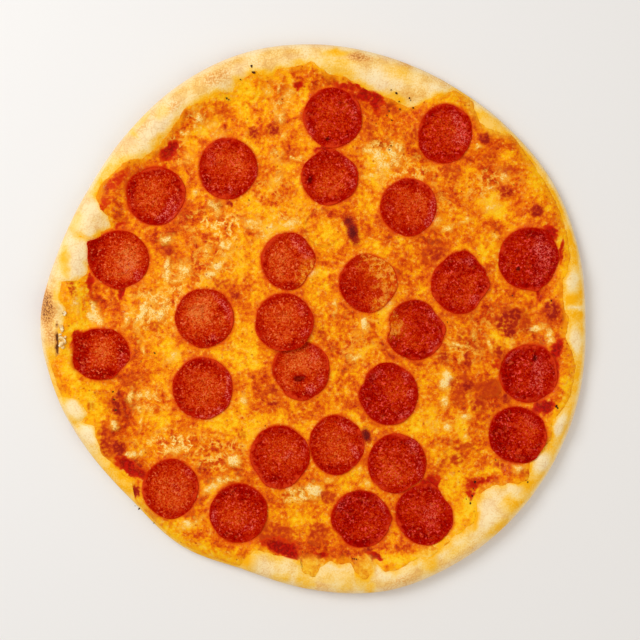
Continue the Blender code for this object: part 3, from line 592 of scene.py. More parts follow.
RED_AREAS = (
    (-63, 137, 12, 7, 10, 0.5), (-84, 130, 17, 4.5, 38, 0.6), (-13, 111, 9, 4, 5, 0.5), (10, 158, 22, 5, -8, 0.8),
    (-137, 5, 13, 12, 0, 0.6), (-98, 47, 14, 8, -50, 0.6), (-78, 41, 10, 12, 0, 0.5), (-61, 22, 12, 5, 0, 0.6),
    (-41, 10, 6, 14, 0, 0.45), (-113, -30, 7, 16, 0, 0.35), (-125, -58, 6, 18, 5, 0.6), (-130, -74, 14, 13, 0, 0.7),
    (-90, -63, 5, 14, 0, 0.4), (-55, -47, 12, 6, 0, 0.5), (-30, -46, 10, 14, 0, 0.55), (-62, -92, 12, 14, 0, 0.45),
    (-120, -97, 18, 9, -32, 0.6), (-24, -141, 20, 9, -8, 0.8), (3, -141, 12, 10, 0, 0.6), (56, -147, 20, 6, 10, 0.4),
    (11, 41, 10, 4, -5, 0.6), (21, -9, 9, 14, 0, 0.5), (66, 108, 9, 11, 0, 0.4), (90, 90, 16, 16, 0, 0.5),
    (117, 106, 10, 13, -15, 0.6), (129, 98, 10, 7, -20, 0.4), (121, 61, 16, 5, 0, 0.5), (92, 53, 9, 6, 0, 0.6),
    (80, 43, 12, 9, 0, 0.6), (111, 2, 14, 6, 0, 0.7), (146, 2, 20, 9, 0, 0.5), (112, -21, 24, 10, 0, 0.45),
    (115, -45, 16, 10, 0, 0.8), (113, -93, 14, 4, -12, 0.6), (110, -110, 12, 5, 20, 0.6), (165, 18, 3, 12, 0, 0.6),
    (-5, -107, 9, 5, 20, 0.4), (10, -117, 9, 6, 0, 0.4), (50, 134, 20, 8, -10, 0.5), (-140, 76, 12, 6, 40, 0.5),
    (-56, -152, 14, 5, -25, 0.4), (-85, 62, 22, 5, 0, 0.4), (60, 30, 5, 10, 0, 0.4), (-118, 112, 8, 12, -35, 0.4),
    (47, 62, 16, 6, 0, 0.3), (150, -14, 14, 5, 20, 0.5), (130, 118, 5, 12, 40, 0.5), (-92, 112, 6, 8, 0, 0.9),
    (-130, 89, 7, 6, 0, 0.8), (-125, 67, 6, 8, 0, 0.8), (-138, -3, 6, 6, 0, 0.8),
    (-86, -21, 5, 6, 0, 0.7), (-50, -36, 5, 6, 0, 0.7),
    (-133, -42, 6, 5, 0, 0.6), (-120, -50, 4, 7, 0, 0.6), (-4, -124, 12, 9, 0, 0.7),
    (86, -103, 7, 8, 0, 0.7), (98, -94, 8, 5, 0, 0.5),
    (112, -66, 6, 5, 0, 0.6), (148, -58, 6, 4, 0, 0.6), (118, 49, 6, 8, 0, 0.6),
    (95, 52, 6, 5, 0, 0.5), (86, 68, 8, 5, 0, 0.5),
    (68, 49, 9, 5, 0, 0.7), (34, 52, 4, 8, 20, 0.7), (13, 43, 8, 6, 0, 0.8), (16, 63, 10, 6, 0, 0.6), (38, 84, 8, 5, 0, 0.6),
    (50, 118, 6, 8, 0, 0.7), (52, 132, 8, 4, 0, 0.6), (108, 116, 6, 7, 0, 0.8),
    (-30, 138, 5, 6, 0, 0.6), (-1, 150, 5, 6, 0, 0.6),
    (-60, 75, 8, 4, 0, 0.6), (-56, 52, 6, 5, 0, 0.5), (22, -8, 5, 6, 0, 0.7),
    (22, -44, 6, 4, 0, 0.5), (117, -16, 5, 6, 0, 0.5),
    (-118, -94, 9, 5, -10, 0.6), (-66, -112, 5, 8, -25, 0.6), (-56, -96, 5, 6, 0, 0.5),
    (60, 21, 6, 4, 0, 0.7), (24, -152, 14, 4, 0, 0.4),
    (-138, 85, 9, 12, 40, 0.5), (-130, -68, 5, 6, 0, 0.5), (-20, -125, 8, 8, 0, 0.7),
    (30, 62, 5, 14, 15, 0.6), (120, 84, 8, 4, 0, 0.6),
    (114, -110, 6, 4, 0, 0.5), (76, -36, 4, 8, 0, 0.5), (-90, -65, 6, 4, 0, 0.6),
    (162, -30, 4, 8, 0, 0.6), (-128, -41, 6, 5, 0, 0.5),
    (45, 97, 3, 8, 0, 0.5), (8, 43, 5, 5, 0, 0.5), (-42, 56, 6, 5, 0, 0.5),
    (-86, 73, 5, 7, 40, 0.6), (110, 115, 6, 7, 0, 0.4),
)
CHARRED = (
    (23.5, 64.5, 3.4, 3.6, 25, 0.8), (26, 57.5, 3.2, 6, 8, 1.0), (28, 52, 2.8, 4, 0, 0.6), (35.3, -77, 2.6, 4.2, 15, 1.0),
    (-128, -49, 1.2, 2.4, 0, 0.7), (-26, -55.5, 3.6, 0.8, 8, 0.6),
)

# Brown outlines of sunken bubbles, as (x, y, radius, first degree, last degree, strength).
BUBBLE_LINES = (
    (7, 60, 12, 60, 330, 0.8), (98, -101, 17, 25, 175, 0.8), (96, -45, 6, -20, 200, 0.8), (109, -57, 4.6, 0, 359, 0.7),
    (134, -2, 9, -75, 80, 0.9), (157, 5, 6.5, 60, 300, 0.5), (124, -98, 5, 20, 250, 0.7), (-52, -94, 8, 200, 340, 0.4),
    (142, -99, 5, 0, 359, 0.6), (-129, -57, 6, 60, 250, 0.5), (-133, -80, 8, 100, 300, 0.5), (58, 22, 11, 200, 330, 0.5),
    (-46, 122, 7, 0, 359, 0.4), (82, 44, 9, 20, 200, 0.5), (-64, 138, 8, 180, 350, 0.5), (4, -134, 12, 20, 160, 0.4),
    (-102, 46, 8, 20, 200, 0.4), (30, -108, 8, 180, 350, 0.4),
)
# Tongues at the edge where the cheese is only a yellow film on the dough.
THIN_TONGUES = (
    (-3, -165, 8, 8, 0, 1.0), (33, -165, 8, 7, 10, 0.8), (78, -156, 7, 7, 25, 0.7),
    (108, 137, 4, 10, 30, 0.6), (122, 124, 10, 4, -20, 0.6),
)
# Cheese that melted thinly over a slice.
OVER_SLICES = (
    (47, 33, 19, 11, -60, 1.0), (46, 11, 7, 5, 35, 1.0), (-3, 29, 7, 9, -20, 1.0), (53, -4, 6, 9, 10, 0.9),
    (22, 139, 6, 3, -50, 0.3),
)


def cheese_surface(x, y):
    """The cheese's upper side before the slices press into it, in millimetres."""
    degrees = np.degrees(np.arctan2(y, x))
    from_edge = edge_radius(degrees) - bare_width(degrees) - np.hypot(x, y)
    thickness = CHEESE_THICKNESS * smoothstep(from_edge / 15)
    relief = 0.45 * (wave(x, y, 26, 9.3) + 0.7 * wave(x, y, 11, 2.6)) + hills(x, y, BLISTERS)
    return dough_top(x, y) + 0.3 + thickness + smoothstep(from_edge / 6) * relief


def slice_plane(number):
    x, y, width, depth = SLICES[number - 1]
    spots = [(0.0, 0.0)]
    for part in (0.35, 0.65, 0.95):
        for i in range(16):
            angle = math.pi * i / 8
            spots.append((part * width / 2 * math.cos(angle), part * depth / 2 * math.sin(angle)))
    dx, dy = np.array(spots).T
    tops = cheese_surface(x + dx, y + dy)
    slope_x, slope_y = (dx * tops).sum() / (dx * dx).sum(), (dy * tops).sum() / (dy * dy).sum()
    base = tops.mean() - SLICE_SINK
    if number in (UPPER_SLICE, LOWER_SLICE):
        way = np.array(SLICES[LOWER_SLICE - 1][:2]) - np.array(SLICES[UPPER_SLICE - 1][:2])
        way = way / np.hypot(*way)
        tilt = math.tan(math.radians(UPPER_TILT if number == UPPER_SLICE else LOWER_TILT))
        slope_x, slope_y = way * tilt
        base += UPPER_LIFT if number == UPPER_SLICE else -0.2
    return base, slope_x, slope_y


def slice_outline(number, degrees):
    """How far the slice's outline stands out from its ellipse at these angles, in millimetres."""
    out = np.zeros(np.shape(degrees))
    for middle, width, amount in SLICE_OUTLINES[number - 1]:
        turned = (degrees - middle + 180) % 360 - 180
        out += amount * np.exp(-(turned / width) ** 2)
    return out


slice_planes = [slice_plane(number) for number in range(1, len(SLICES) + 1)]
flat_rings = CHEESE_RINGS - CHEESE_EDGE_RINGS
spots = [np.zeros((1, 2))]
for n in range(1, CHEESE_RINGS + 1):
    ring_degrees = 60.0 * np.arange(6 * n) / n
    ring_edge = edge_radius(ring_degrees)
    if n <= flat_rings:
        radius = (ring_edge - RIM_FOOT) * n / flat_rings
    else:
        radius = ring_edge - RIM_FOOT + (RIM_FOOT - bare_width(ring_degrees)) * (n - flat_rings) / CHEESE_EDGE_RINGS
    turn = np.radians(ring_degrees)
    spots.append(np.stack([radius * np.cos(turn), radius * np.sin(turn)], axis=1))
x, y = np.concatenate(spots).T
degrees = np.degrees(np.arctan2(y, x))
from_edge = edge_radius(degrees) - bare_width(degrees) - np.hypot(x, y)
z = cheese_surface(x, y)

swirl_x = x + 5 * wave(x, y, 13, 21.5) + 2.2 * wave(x, y, 5, 22.5)
swirl_y = y + 5 * wave(x, y, 13, 31.5) + 2.2 * wave(x, y, 5, 32.5)
broad = wave(swirl_x, swirl_y, 22, 41.2)
patch = wave(swirl_x, swirl_y, 8.5, 43.2)
small = wave(swirl_x, swirl_y, 3.6, 47.2)
tiny = wave(x, y, 1.9, 49.2)
bent_x, bent_y = x + 4 * patch + 2 * small, y + 4 * wave(x, y, 9, 61.5) - 2 * small
yellow = patches(bent_x, bent_y, YELLOW_AREAS, 0.7)
red = patches(bent_x, bent_y, RED_AREAS, 0.7)
nets = patches(bent_x, bent_y, PALE_NETS, 0.7)
blobs = patches(x + 2.2 * small + 1.5 * patch, y - 2.2 * small + 1.5 * patch, PALE_BLOBS, 0.95)
pale = np.clip(blobs * (0.95 + 0.7 * small + 0.5 * tiny), 0, 1)
tone = 0.63 - 0.29 * yellow + 0.22 * red + 0.07 * broad + 0.26 * patch + 0.22 * small + 0.14 * tiny
sauce = patches(x + 2.0 * patch + 2.2 * small, y + 2.2 * wave(x, y, 3.3, 53.1) + tiny, SAUCE_SHOWS + SMEARED, 0.6)
thin = patches(x + 1.5 * patch + 1.5 * small, y + 1.5 * small, THIN_TONGUES, 0.6)
blister_ring = patches(x + 1.6 * small, y + 1.2 * patch, BROWN_BLISTERS, 0.5)
blister = np.clip(blister_ring * (1.0 + 0.4 * small + 0.2 * tiny), 0, 1)
charred = patches(x + 0.8 * small, y + 0.8 * tiny, CHARRED, 0.9)
bubble_line = np.zeros_like(x)
for bx, by, radius, first, last, strength in BUBBLE_LINES:
    dx, dy = x + 0.9 * small - bx, y + 0.9 * patch - by
    turned = (np.degrees(np.arctan2(dy, dx)) - first) % 360
    along = smoothstep(turned / 20) * smoothstep((last - first - turned) / 20)
    line = np.exp(-((np.hypot(dx, dy) - radius) / 1.0) ** 2)
    bubble_line = np.maximum(bubble_line, strength * along * line * (0.8 + 0.6 * small))
bubble_line = np.clip(bubble_line, 0, 1)
relief = 0.26 * patch + 0.30 * small + 0.12 * tiny + 0.45 * pale - 0.4 * sauce + 0.35 * blister_ring - 0.35 * bubble_line
z = z + smoothstep(from_edge / 8) * relief * (1 - thin)

by_slice = np.zeros_like(x)
for number, ((sx, sy, width, depth), (base, slope_x, slope_y)) in enumerate(zip(SLICES, slice_planes), 1):
    dx, dy = x - sx, y - sy
    outside = (np.hypot(dx / (width / 2), dy / (depth / 2)) - 1) * (width + depth) / 4
    outside = outside - slice_outline(number, np.degrees(np.arctan2(dy, dx)))
    plane = base + dx * slope_x + dy * slope_y
    beside = (outside > -2) & (outside < 6)
    level = plane + SLICE_THICKNESS
    z = np.where(beside, z + (level - z) * 0.9 * np.exp(-np.clip(outside, 0, None) / 2.2), z)
    pressed = smoothstep((-outside - 0.6) / 1.2)
    z = np.where(outside < 0, z + (plane - 0.5 - z) * pressed, z)
    by_slice = np.maximum(by_slice, np.exp(-np.clip(outside, 0, None) / 1.8))
z = np.where(from_edge < 1.5, np.minimum(z, dough_top(x, y) + 0.25 * np.clip(from_edge, -1, 1.5) - 0.05), z)

top_count = len(x)
rings = [[0]]
for n in range(1, CHEESE_RINGS + 1):
    rings.append(list(range(rings[-1][-1] + 1, rings[-1][-1] + 1 + 6 * n)))
cheese_faces = [(0, a, b) for a, b in zip(rings[1], rings[1][1:] + rings[1][:1])]
for n in range(1, CHEESE_RINGS):
    inner, outer = rings[n], rings[n + 1]
    for side in range(6):
        for j in range(n + 1):
            a, b = inner[(side * n + j) % len(inner)], outer[side * (n + 1) + j]
            c = outer[(side * (n + 1) + j + 1) % len(outer)]
            cheese_faces.append((a, b, c))
            if j < n:
                cheese_faces.append((a, c, inner[(side * n + j + 1) % len(inner)]))
outer = rings[-1]
under_points = np.stack([x[outer], y[outer], z[outer] - CHEESE_EDGE_THICKNESS], axis=1)
deep = np.stack([x[outer] * 0.96, y[outer] * 0.96, np.full(len(outer), CHEESE_BOTTOM)], axis=1)
cheese_points = np.concatenate([np.stack([x, y, z], axis=1), under_points, deep, [[0, 0, CHEESE_BOTTOM]]])
under_ring = list(range(top_count, top_count + len(outer)))
deep_ring = list(range(top_count + len(outer), top_count + 2 * len(outer)))
cheese_faces += ring_faces(under_ring, outer) + ring_faces(deep_ring, under_ring)
cheese_faces += [(deep_ring[i], len(cheese_points) - 1, deep_ring[(i + 1) % len(outer)]) for i in range(len(outer))]


def padded(values):
    return np.concatenate([values, np.zeros(len(cheese_points) - top_count)])


rim_stain = 1 - smoothstep((from_edge + 3 * wave(x, y, 6, 12.5)) / 6)
masks = {
    "tone": padded(tone), "pale": padded(pale), "nets": padded(nets), "sauce": padded(sauce), "blister": padded(blister),
    "charred": padded(charred), "by_slice": padded(by_slice), "rim_stain": padded(rim_stain), "thin": padded(thin),
    "bubble_line": padded(bubble_line),
}


def thread_group():
    """Soft bent threads of melted grated cheese, and the gaps between them, as masks from 0 to 1."""
    sizes = {"Size": 6.0, "Width": 0.05, "Seed": 0.0}
    group, given, moved = texture_group("Melted threads", sizes, ("Thread", "Gap"))
    scale = math_node(group, "DIVIDE", 1000.0, given["Size"])
    bent = add(group, "ShaderNodeTexNoise", {"Vector": moved, "Scale": scale, "Detail": 2.0, "Distortion": 0.2})
    broken = add(group, "ShaderNodeTexNoise", {"Vector": moved, "Scale": times(group, scale, 1.6), "Detail": 3.0})
    off_line = math_node(group, "ABSOLUTE", math_node(group, "SUBTRACT", bent.outputs[0], 0.5))
    thread = spread(group, off_line, given["Width"], 0.0)
    thread = times(group, thread, spread(group, broken.outputs[0], 0.42, 0.58))
    warp = add(group, "ShaderNodeTexNoise", {"Vector": moved, "Scale": times(group, scale, 1.2), "Detail": 1.0})
    bend = {0: warp.outputs["Color"], 1: (0.010, 0.010, 0.0), 2: moved}
    warped = add(group, "ShaderNodeVectorMath", bend, operation="MULTIPLY_ADD")
    pools = add(group, "ShaderNodeTexVoronoi", {
        "Vector": warped.outputs[0], "Scale": times(group, scale, 1.05),
    }, feature="DISTANCE_TO_EDGE")
    strand = spread(group, pools.outputs["Distance"], 0.20, 0.02)
    strand = times(group, strand, spread(group, broken.outputs[0], 0.40, 0.56, 0.1, 1.0))
    thread = math_node(group, "MAXIMUM", thread, strand)
    add(group, "NodeGroupOutput", {"Thread": thread, "Gap": spread(group, pools.outputs["Distance"], 0.12, 0.34)})
    return group


melted_threads = thread_group()


def threads_at(tree, size, width, seed=0.0):
    sizes = {"Size": size, "Width": width, "Seed": seed}
    return add(tree, "ShaderNodeGroup", node_tree=melted_threads, inputs=sizes).outputs


cheese_finish, tree, shader = start_material("melted_cheese")
grain = grain_at(tree, 2.2, 0.9, 3.0)
coarse, fine = grain["Coarse"], grain["Fine"]
jitter = plus(tree, swing(tree, coarse, 0.62), swing(tree, fine, 0.4))
threads = threads_at(tree, 7.0, 0.12)
tone_here = plus(tree, attribute(tree, "tone"), jitter)
gap = times(tree, attribute(tree, "nets"), threads["Gap"])
tone_here = plus(tree, tone_here, times(tree, gap, 0.14))
color = ramp(tree, tone_here, (
    (0.14, srgb(255, 204, 40)), (0.30, srgb(255, 186, 8)), (0.44, srgb(252, 160, 0)), (0.56, srgb(243, 131, 0)),
    (0.68, srgb(230, 98, 0)), (0.82, srgb(206, 60, 0)), (0.95, srgb(172, 30, 0)),
))
color = blend(tree, times(tree, attribute(tree, "rim_stain"), 0.85), color, ramp(tree, tone_here, (
    (0.3, srgb(255, 188, 14)), (0.8, srgb(246, 150, 2)),
)))
thread = times(tree, threads["Thread"], plus(tree, attribute(tree, "nets"), 0.16), clamp=True)
thread = times(tree, thread, 0.82)
pale_here = math_node(tree, "MAXIMUM", attribute(tree, "pale"), thread)
pale_here = times(tree, pale_here, spread(tree, fine, 0.3, 0.6, 0.6, 1.1), clamp=True)
color = blend(tree, spread(tree, pale_here, 0.0, 0.8), color, ramp(tree, pale_here, (
    (0.2, srgb(252, 170, 22)), (0.5, srgb(253, 190, 62)), (0.9, srgb(255, 220, 142)),
)))
beside = attribute(tree, "by_slice")
color = blend(tree, spread(tree, beside, 0.05, 0.95, 0.0, 0.85), color, ramp(tree, beside, (
    (0.2, srgb(244, 122, 4)), (0.6, srgb(230, 84, 2)), (0.95, srgb(206, 40, 2)),
)))
color = blend(tree, spread(tree, attribute(tree, "bubble_line"), 0.1, 0.9, 0.0, 0.75), color, srgb(196, 84, 6))
blister_here = times(tree, attribute(tree, "blister"), spread(tree, coarse, 0.34, 0.6, 0.6, 1.2), clamp=True)
color = blend(tree, spread(tree, blister_here, 0.0, 0.75), color, ramp(tree, blister_here, (
    (0.2, srgb(222, 98, 4)), (0.5, srgb(202, 66, 6)), (0.8, srgb(180, 44, 8)), (1.0, srgb(156, 28, 8)),
)))
sauce_here = times(tree, attribute(tree, "sauce"), spread(tree, coarse, 0.32, 0.6, 0.65, 1.25), clamp=True)
color = blend(tree, spread(tree, sauce_here, 0.0, 0.4), color, srgb(216, 56, 0))
color = blend(tree, spread(tree, sauce_here, 0.25, 0.8), color, ramp(tree, coarse, (
    (0.4, srgb(140, 4, 0)), (0.6, srgb(194, 20, 0)),
)))
color = blend(tree, attribute(tree, "thin"), color, ramp(tree, tone_here, (
    (0.3, srgb(254, 214, 116)), (0.55, srgb(254, 194, 48)), (0.85, srgb(242, 156, 20)),
)))
charred_here = times(tree, attribute(tree, "charred"), spread(tree, fine, 0.3, 0.6, 0.8, 1.1))
color = blend(tree, spread(tree, charred_here, 0.05, 0.6), color, srgb(170, 36, 8))
color = blend(tree, spread(tree, charred_here, 0.4, 1.0, 0.0, 0.85), color, srgb(82, 12, 16))
dots = add(tree, "ShaderNodeTexVoronoi", {"Vector": add(tree, "ShaderNodeTexCoord").outputs["Object"], "Scale": 300.0})
some = spread(tree, add(tree, "ShaderNodeSeparateColor", {0: dots.outputs["Color"]}).outputs[0], 0.72, 0.95)
dot = times(tree, spread(tree, dots.outputs["Distance"], 0.30, 0.10), some)
color = blend(tree, times(tree, dot, 0.7), color, srgb(180, 56, 0))
speck_noise = grain_at(tree, 5.0, 2.4, 17.0)["Fine"]
calm = math_node(tree, "MAXIMUM", math_node(tree, "MAXIMUM", blister_here, sauce_here), charred_here)
calm = spread(tree, calm, 0.5, 0.1)
curd_and_painted_highlight = times(tree, spread(tree, speck_noise, 0.56, 0.70), spread(tree, tone_here, 0.85, 0.45, 0.1, 1.0))
curd_and_painted_highlight = times(tree, curd_and_painted_highlight, calm)
# Pale yellow specks, partly unmelted curd and partly painted highlight, kept off blisters, sauce and char.
color = blend(tree, times(tree, curd_and_painted_highlight, 0.4), color, srgb(255, 202, 84))
crimson = times(tree, spread(tree, speck_noise, 0.42, 0.32), spread(tree, tone_here, 0.45, 0.8, 0.1, 1.0))
color = blend(tree, times(tree, crimson, 0.35), color, srgb(196, 56, 0))
tree.links.new(color, shader.inputs["Base Color"])
tree.links.new(spread(tree, fine, 0.35, 0.65, 0.34, 0.5), shader.inputs["Roughness"])
shader.inputs["Specular IOR Level"].default_value = 0.05
glint = times(tree, spread(tree, coarse, 0.54, 0.66), spread(tree, fine, 0.50, 0.66, 0.0, 0.5))
tree.links.new(times(tree, glint, calm), shader.inputs["Coat Weight"])
shader.inputs["Coat Roughness"].default_value = 0.16
grain_bump(tree, shader, grain, 0.7, 0.0005)

cheese = mesh_piece("cheese_sheet", cheese_points, cheese_faces, cheese_finish, masks)
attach(cheese, "root")
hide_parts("cheese")


# Pepperoni: thin round slices of cured sausage laid on the cheese before baking. Each curled up a little at
# its edge, sank into the melted cheese and shines with its own red oil.

# How orange each slice is, from deep crimson at 0 to orange red at 1.
SLICE_WARMTH = (
    0.2, 0.35, 0.2, 0.4, 0.6, 0.5, 0.1, 0.75, 0.75, 0.5, 0.3, 0.8, 0.7, 0.2, 0.6, 0.75,
    0.6, 0.15, 0.1, 0.05, 0.4, 0.5, 0.3, 0.7, 0.35, 0.2, 0.1,
)
# Deeper crimson places on each slice (strength above 0) and lighter, oranger ones (below 0), as millimetres from
# its middle: (x, y, half length, half width, turn, strength).
SLICE_SHADES = (
    ((-14, 2, 3, 10, 0, 0.5), (4, -11, 10, 4, 0, 0.4), (0, 0, 8, 8, 0, -0.3),
     (-3.4, -14, 2, 1.6, 0, 2.2), (4.7, 10.4, 1.4, 1.4, 0, 1.6)),
    ((0, -15.5, 9, 2.6, 0, 1.0), (-2, 13, 6, 3, 0, 0.4), (14, -3, 2.5, 5, 0, 0.5), (0, -3, 9, 8, 0, -0.5),
     (-13, -2, 2, 2.2, 0, 2.4)),
    ((-12, 10, 3.5, 9, -45, 0.9), (0, -13, 10, 4, 0, 0.7), (-2, 14, 9, 3, 0, 0.6), (0, 0, 7, 6, 0, -0.2)),
    ((2, -16, 9, 2.6, 0, 0.8), (-14, -6, 3, 5, 0, 0.6), (13, 6, 3, 6, 0, 0.4), (0, 4, 10, 8, 0, -0.5)),
    ((-15, 6, 3, 6, 0, 0.8), (14, 7, 5, 3, 0, 0.8), (-2, -17, 9, 2, 0, 0.6), (0, 15, 8, 2.5, 0, 0.5), (-2, 1, 8, 8, 0, -0.5)),
    ((0, 15, 8, 3, 0, 0.9), (0, -15.5, 5, 3, 0, 0.9), (-12, 3, 4, 3, 0, 0.6), (4, 2, 8, 6, 0, -0.5)),
    ((0, 0, 14, 14, 0, 0.5), (2, 16, 8, 3, 0, 0.9), (-5, -16, 9, 3, 0, 0.8), (0, 2, 6, 6, 0, -0.2),
     (-7, -7, 1.8, 1.6, 0, 2.4)),
    ((-14, 0, 4.5, 14, 0, 1.0), (-2, -17, 11, 3, 0, 0.9), (-4, 15, 9, 3, 0, 0.5), (5, -1, 8, 9, 0, -0.9)),
    ((2, -16, 7, 3, 0, 0.9), (-15, 3, 2, 8, 0, 0.3), (-5, 0, 8, 10, 0, -0.7)),
    ((-10, -5, 7, 9, 0, 0.6), (-8, 13, 4, 3, 0, 0.5), (4, -12, 8, 5, 0, -0.4)),
    ((2, 10, 13, 6, 0, 1.0), (14, -4, 4, 9, 0, 0.9), (-2, -2, 8, 6, 0, 0.3), (0, -11, 9, 4, 0, -0.3),
     (-7.5, -3, 2, 1.6, 0, 1.0)),
    ((11, 6, 3, 7, -30, 0.8), (3, -14, 9, 3, 0, 0.9), (-13, -5, 3, 5, 0, 0.6), (-4, 3, 9, 9, 0, -0.7)),
    ((8, -14, 10, 3.5, 30, 0.9), (-12, -6, 4, 5, 0, 0.5), (-8, 10, 4, 3, 0, 0.3), (0, 4, 10, 7, 0, -0.5)),
    ((3, -15, 12, 4, 0, 0.9), (-14, -6, 4, 5, 0, 0.9), (6, 3, 6, 9, 0, 0.5), (-8, 4, 5, 5, 0, -0.6)),
    ((-13, 2, 5, 12, 0, 1.1), (2, -14, 14, 4, 0, 1.1), (12, 3, 3, 6, 0, 1.1), (0, 14, 9, 3, 0, 0.7), (1, 0, 5.5, 7, 0, -1.0)),
    ((-1, -5, 5, 3.6, 0, 1.9), (2, -16, 8, 3, 0, 0.8), (2, 7, 12, 7, 0, -0.9)),
    ((0, 16.5, 9, 2.6, 0, 0.9), (-15, 0, 2.6, 9, 0, 0.7), (-6, -15, 8, 3, 0, 0.6), (2, -2, 9, 9, 0, -0.5)),
    ((-14, 9, 6, 3.5, 45, 1.2), (0, -12, 12, 5, 0, 0.6), (-10, 0, 6, 8, 0, 0.5), (4, 2, 6, 6, 0, -0.3)),
    ((-12, 0, 6, 12, 0, 0.7), (0, -15, 8, 4, 0, 0.8), (17, 3, 1.4, 9, 0, 1.3),
     (4.1, 9.7, 2, 2.2, 0, 2.2), (-8, 0, 3, 3, 0, -0.4)),
    ((-10, 0, 7, 13, 0, 0.8), (0, -15, 9, 3, 0, 0.5), (6, 2, 7, 9, 0, -0.3)),
    ((-12, 2, 4.5, 9, 0, 0.7), (-3, -13, 3.5, 2.6, 0, 1.4), (0, 16, 8, 3, 0, 0.4), (5, 4, 8, 8, 0, -0.4)),
    ((2, -15, 9, 3, 0, 0.8), (-12, 6, 3, 6, 0, 0.4), (0, 2, 8, 8, 0, -0.4)),
    ((12, 3, 4, 8, 0, 0.9), (4, 14, 7, 3, 0, 0.6), (-14, 2, 2.5, 7, 0, 0.4), (0, -5, 8, 5, 0, -0.6)),
    ((-14, 0, 2.5, 9, 0, 0.4), (0, -16, 9, 2.5, 0, 0.5), (2, 0, 10, 10, 0, -0.6)),
    ((0, 13, 9, 3.5, 0, 0.8), (-5, -14, 9, 3, 0, 0.8), (2.7, 8.7, 2.6, 1.6, 0, 1.4), (-3, -2, 8, 6, 0, -0.6)),
    ((-10, 0, 6, 11, 0, 0.8), (3, 13, 5, 4, 0, 0.8), (0, -16, 9, 2.6, 0, 0.9), (3, -6, 8, 5, 0, -0.4)),
    ((-6, -12, 9, 5, 0, 0.7), (4, 17, 4, 3, 0, 0.9), (12, -6, 4, 8, 0, 0.6), (4, 0, 5, 8, 0, -0.3)),
)
# Where fat and oil shine on each slice, placed the same way. These places get real coat gloss, and their colour is also
# painted towards a pink highlight.
SLICE_GLOSS = (
    ((14.5, 1, 1.6, 10, 0, 0.7), (-15, -8, 1.3, 6, 20, 0.5)), ((12.5, 8, 6, 1.5, -55, 0.8), (15, -4, 1.5, 3, 0, 1.0)),
    ((9, 5, 2.4, 9, 25, 0.8), (10, -4, 6, 4, 0, 0.6), (-13, -9, 1.3, 4, 40, 0.4)),
    ((18, -2, 1, 4, 0, 0.9), (1.5, -13, 1, 3, 0, 0.9), (-14, -12, 1, 4, 40, 0.6), (-10, 6, 3, 4, 0, 0.4)),
    ((9.5, -8, 3.6, 8, -35, 1.0), (4, -15, 3, 2, 0, 0.7), (-15, -2, 1.4, 5, 0, 0.3)),
    ((15.5, -2, 1.8, 8, -10, 1.0), (13, -10, 2, 3, 0, 0.8), (-12, -1, 3, 2, 0, 0.3)),
    ((10, 4, 5, 10, 20, 0.7), (6, -10, 3, 7, 0, 0.5)), ((12, -10, 4, 3, 0, 0.9), (6, -4, 5, 5, 0, 0.4)),
    ((7, 11, 3, 6, 35, 0.9), (12, 4, 3, 3, 0, 0.4)), ((-10, -12, 2, 1, 0, 0.2),),
    ((9, -11.5, 3, 2.5, 0, 0.9), (5, 14, 4, 2, 0, 0.5)),
    ((11, 10.5, 8, 1.7, -48, 1.0), (15, 3, 1.4, 5, 0, 0.7), (6, -12, 2, 2, 0, 0.8)),
    ((13.5, -6.5, 2.4, 2.4, 0, 1.0), (12, 8, 3, 4, 0, 0.4)), ((12, -10, 1.4, 5, -35, 0.9), (12, 10, 4, 2, -40, 0.8)),
    ((14, -5, 2, 5, 10, 0.9), (-12, -8, 1.4, 4, 20, 0.3)),
    ((12.5, -5, 2.4, 3.6, 0, 1.2), (7, -12, 3, 2.4, 0, 1.1), (8, 10, 3, 6, 0, 0.4)),
    ((16.4, 3, 1.4, 10, 0, 0.9), (10, -14.5, 6, 1.6, 35, 1.2), (17.5, -6, 1.4, 3, 0, 1.1), (2, -18, 5, 1.1, 0, 0.8)),
    ((14.5, -1, 2.4, 3.6, 0, 1.1), (11, 12, 3, 2, -40, 0.6), (10, -14, 4, 1.4, 30, 0.4), (-9, 12, 5, 1.4, 45, 0.5)),
    ((6, 0, 4, 10, -15, 0.6), (7, -9, 2, 4, 0, 0.8), (-12, 11, 6, 1.2, 45, 0.4)), ((9, 9, 5, 3, -40, 0.3),),
    ((16, 6, 1.4, 5, 0, 0.5), (6, 2, 3, 3, 0, 0.4)), ((6, 11.5, 5, 1.6, -35, 1.0), (12, -4, 2.4, 5, 25, 1.0)),
    ((10, 11, 3, 4, 0, 0.8), (14.5, -3, 1.5, 6, 0, 0.8)), ((3, 0, 6, 2, -60, 0.3), (12, 9, 1.5, 5, 30, 0.4)),
    ((-16, -3, 1.2, 5, 0, 0.8), (7, -9, 6, 1.4, 25, 1.0)), ((14, 8, 6, 1.2, -60, 0.9), (-13, 9, 1.4, 5, -35, 0.5)),
    ((4, 0, 5, 8, 0, 0.35),),
)

pepperoni_finish, tree, shader = start_material("pepperoni")
grain = grain_at(tree, 2.6, 0.9, 7.0)
coarse, fine = grain["Coarse"], grain["Fine"]
reach = attribute(tree, "slice_reach")
middle = spread(tree, reach, 0.95, 0.55)
meat = plus(tree, times(tree, coarse, 0.28), times(tree, fine, 0.56))
meat = plus(tree, meat, 0.08)
meat = plus(tree, meat, times(tree, attribute(tree, "slice_tone"), 0.22))
meat = plus(tree, meat, swing(tree, attribute(tree, "slice_warmth"), 0.11, 0.45))
meat = plus(tree, meat, swing(tree, middle, 0.06))
shade = attribute(tree, "slice_shade")
meat = math_node(tree, "SUBTRACT", meat, times(tree, shade, 0.09))
color = ramp(tree, meat, (
    (0.32, srgb(124, 2, 0)), (0.41, srgb(160, 6, 0)), (0.49, srgb(184, 22, 0)), (0.57, srgb(204, 48, 4)),
    (0.65, srgb(222, 82, 20)), (0.74, srgb(234, 122, 52)),
))
bits = grain_at(tree, 4.5, 1.5, 31.0)
blotch = bits["Coarse"]
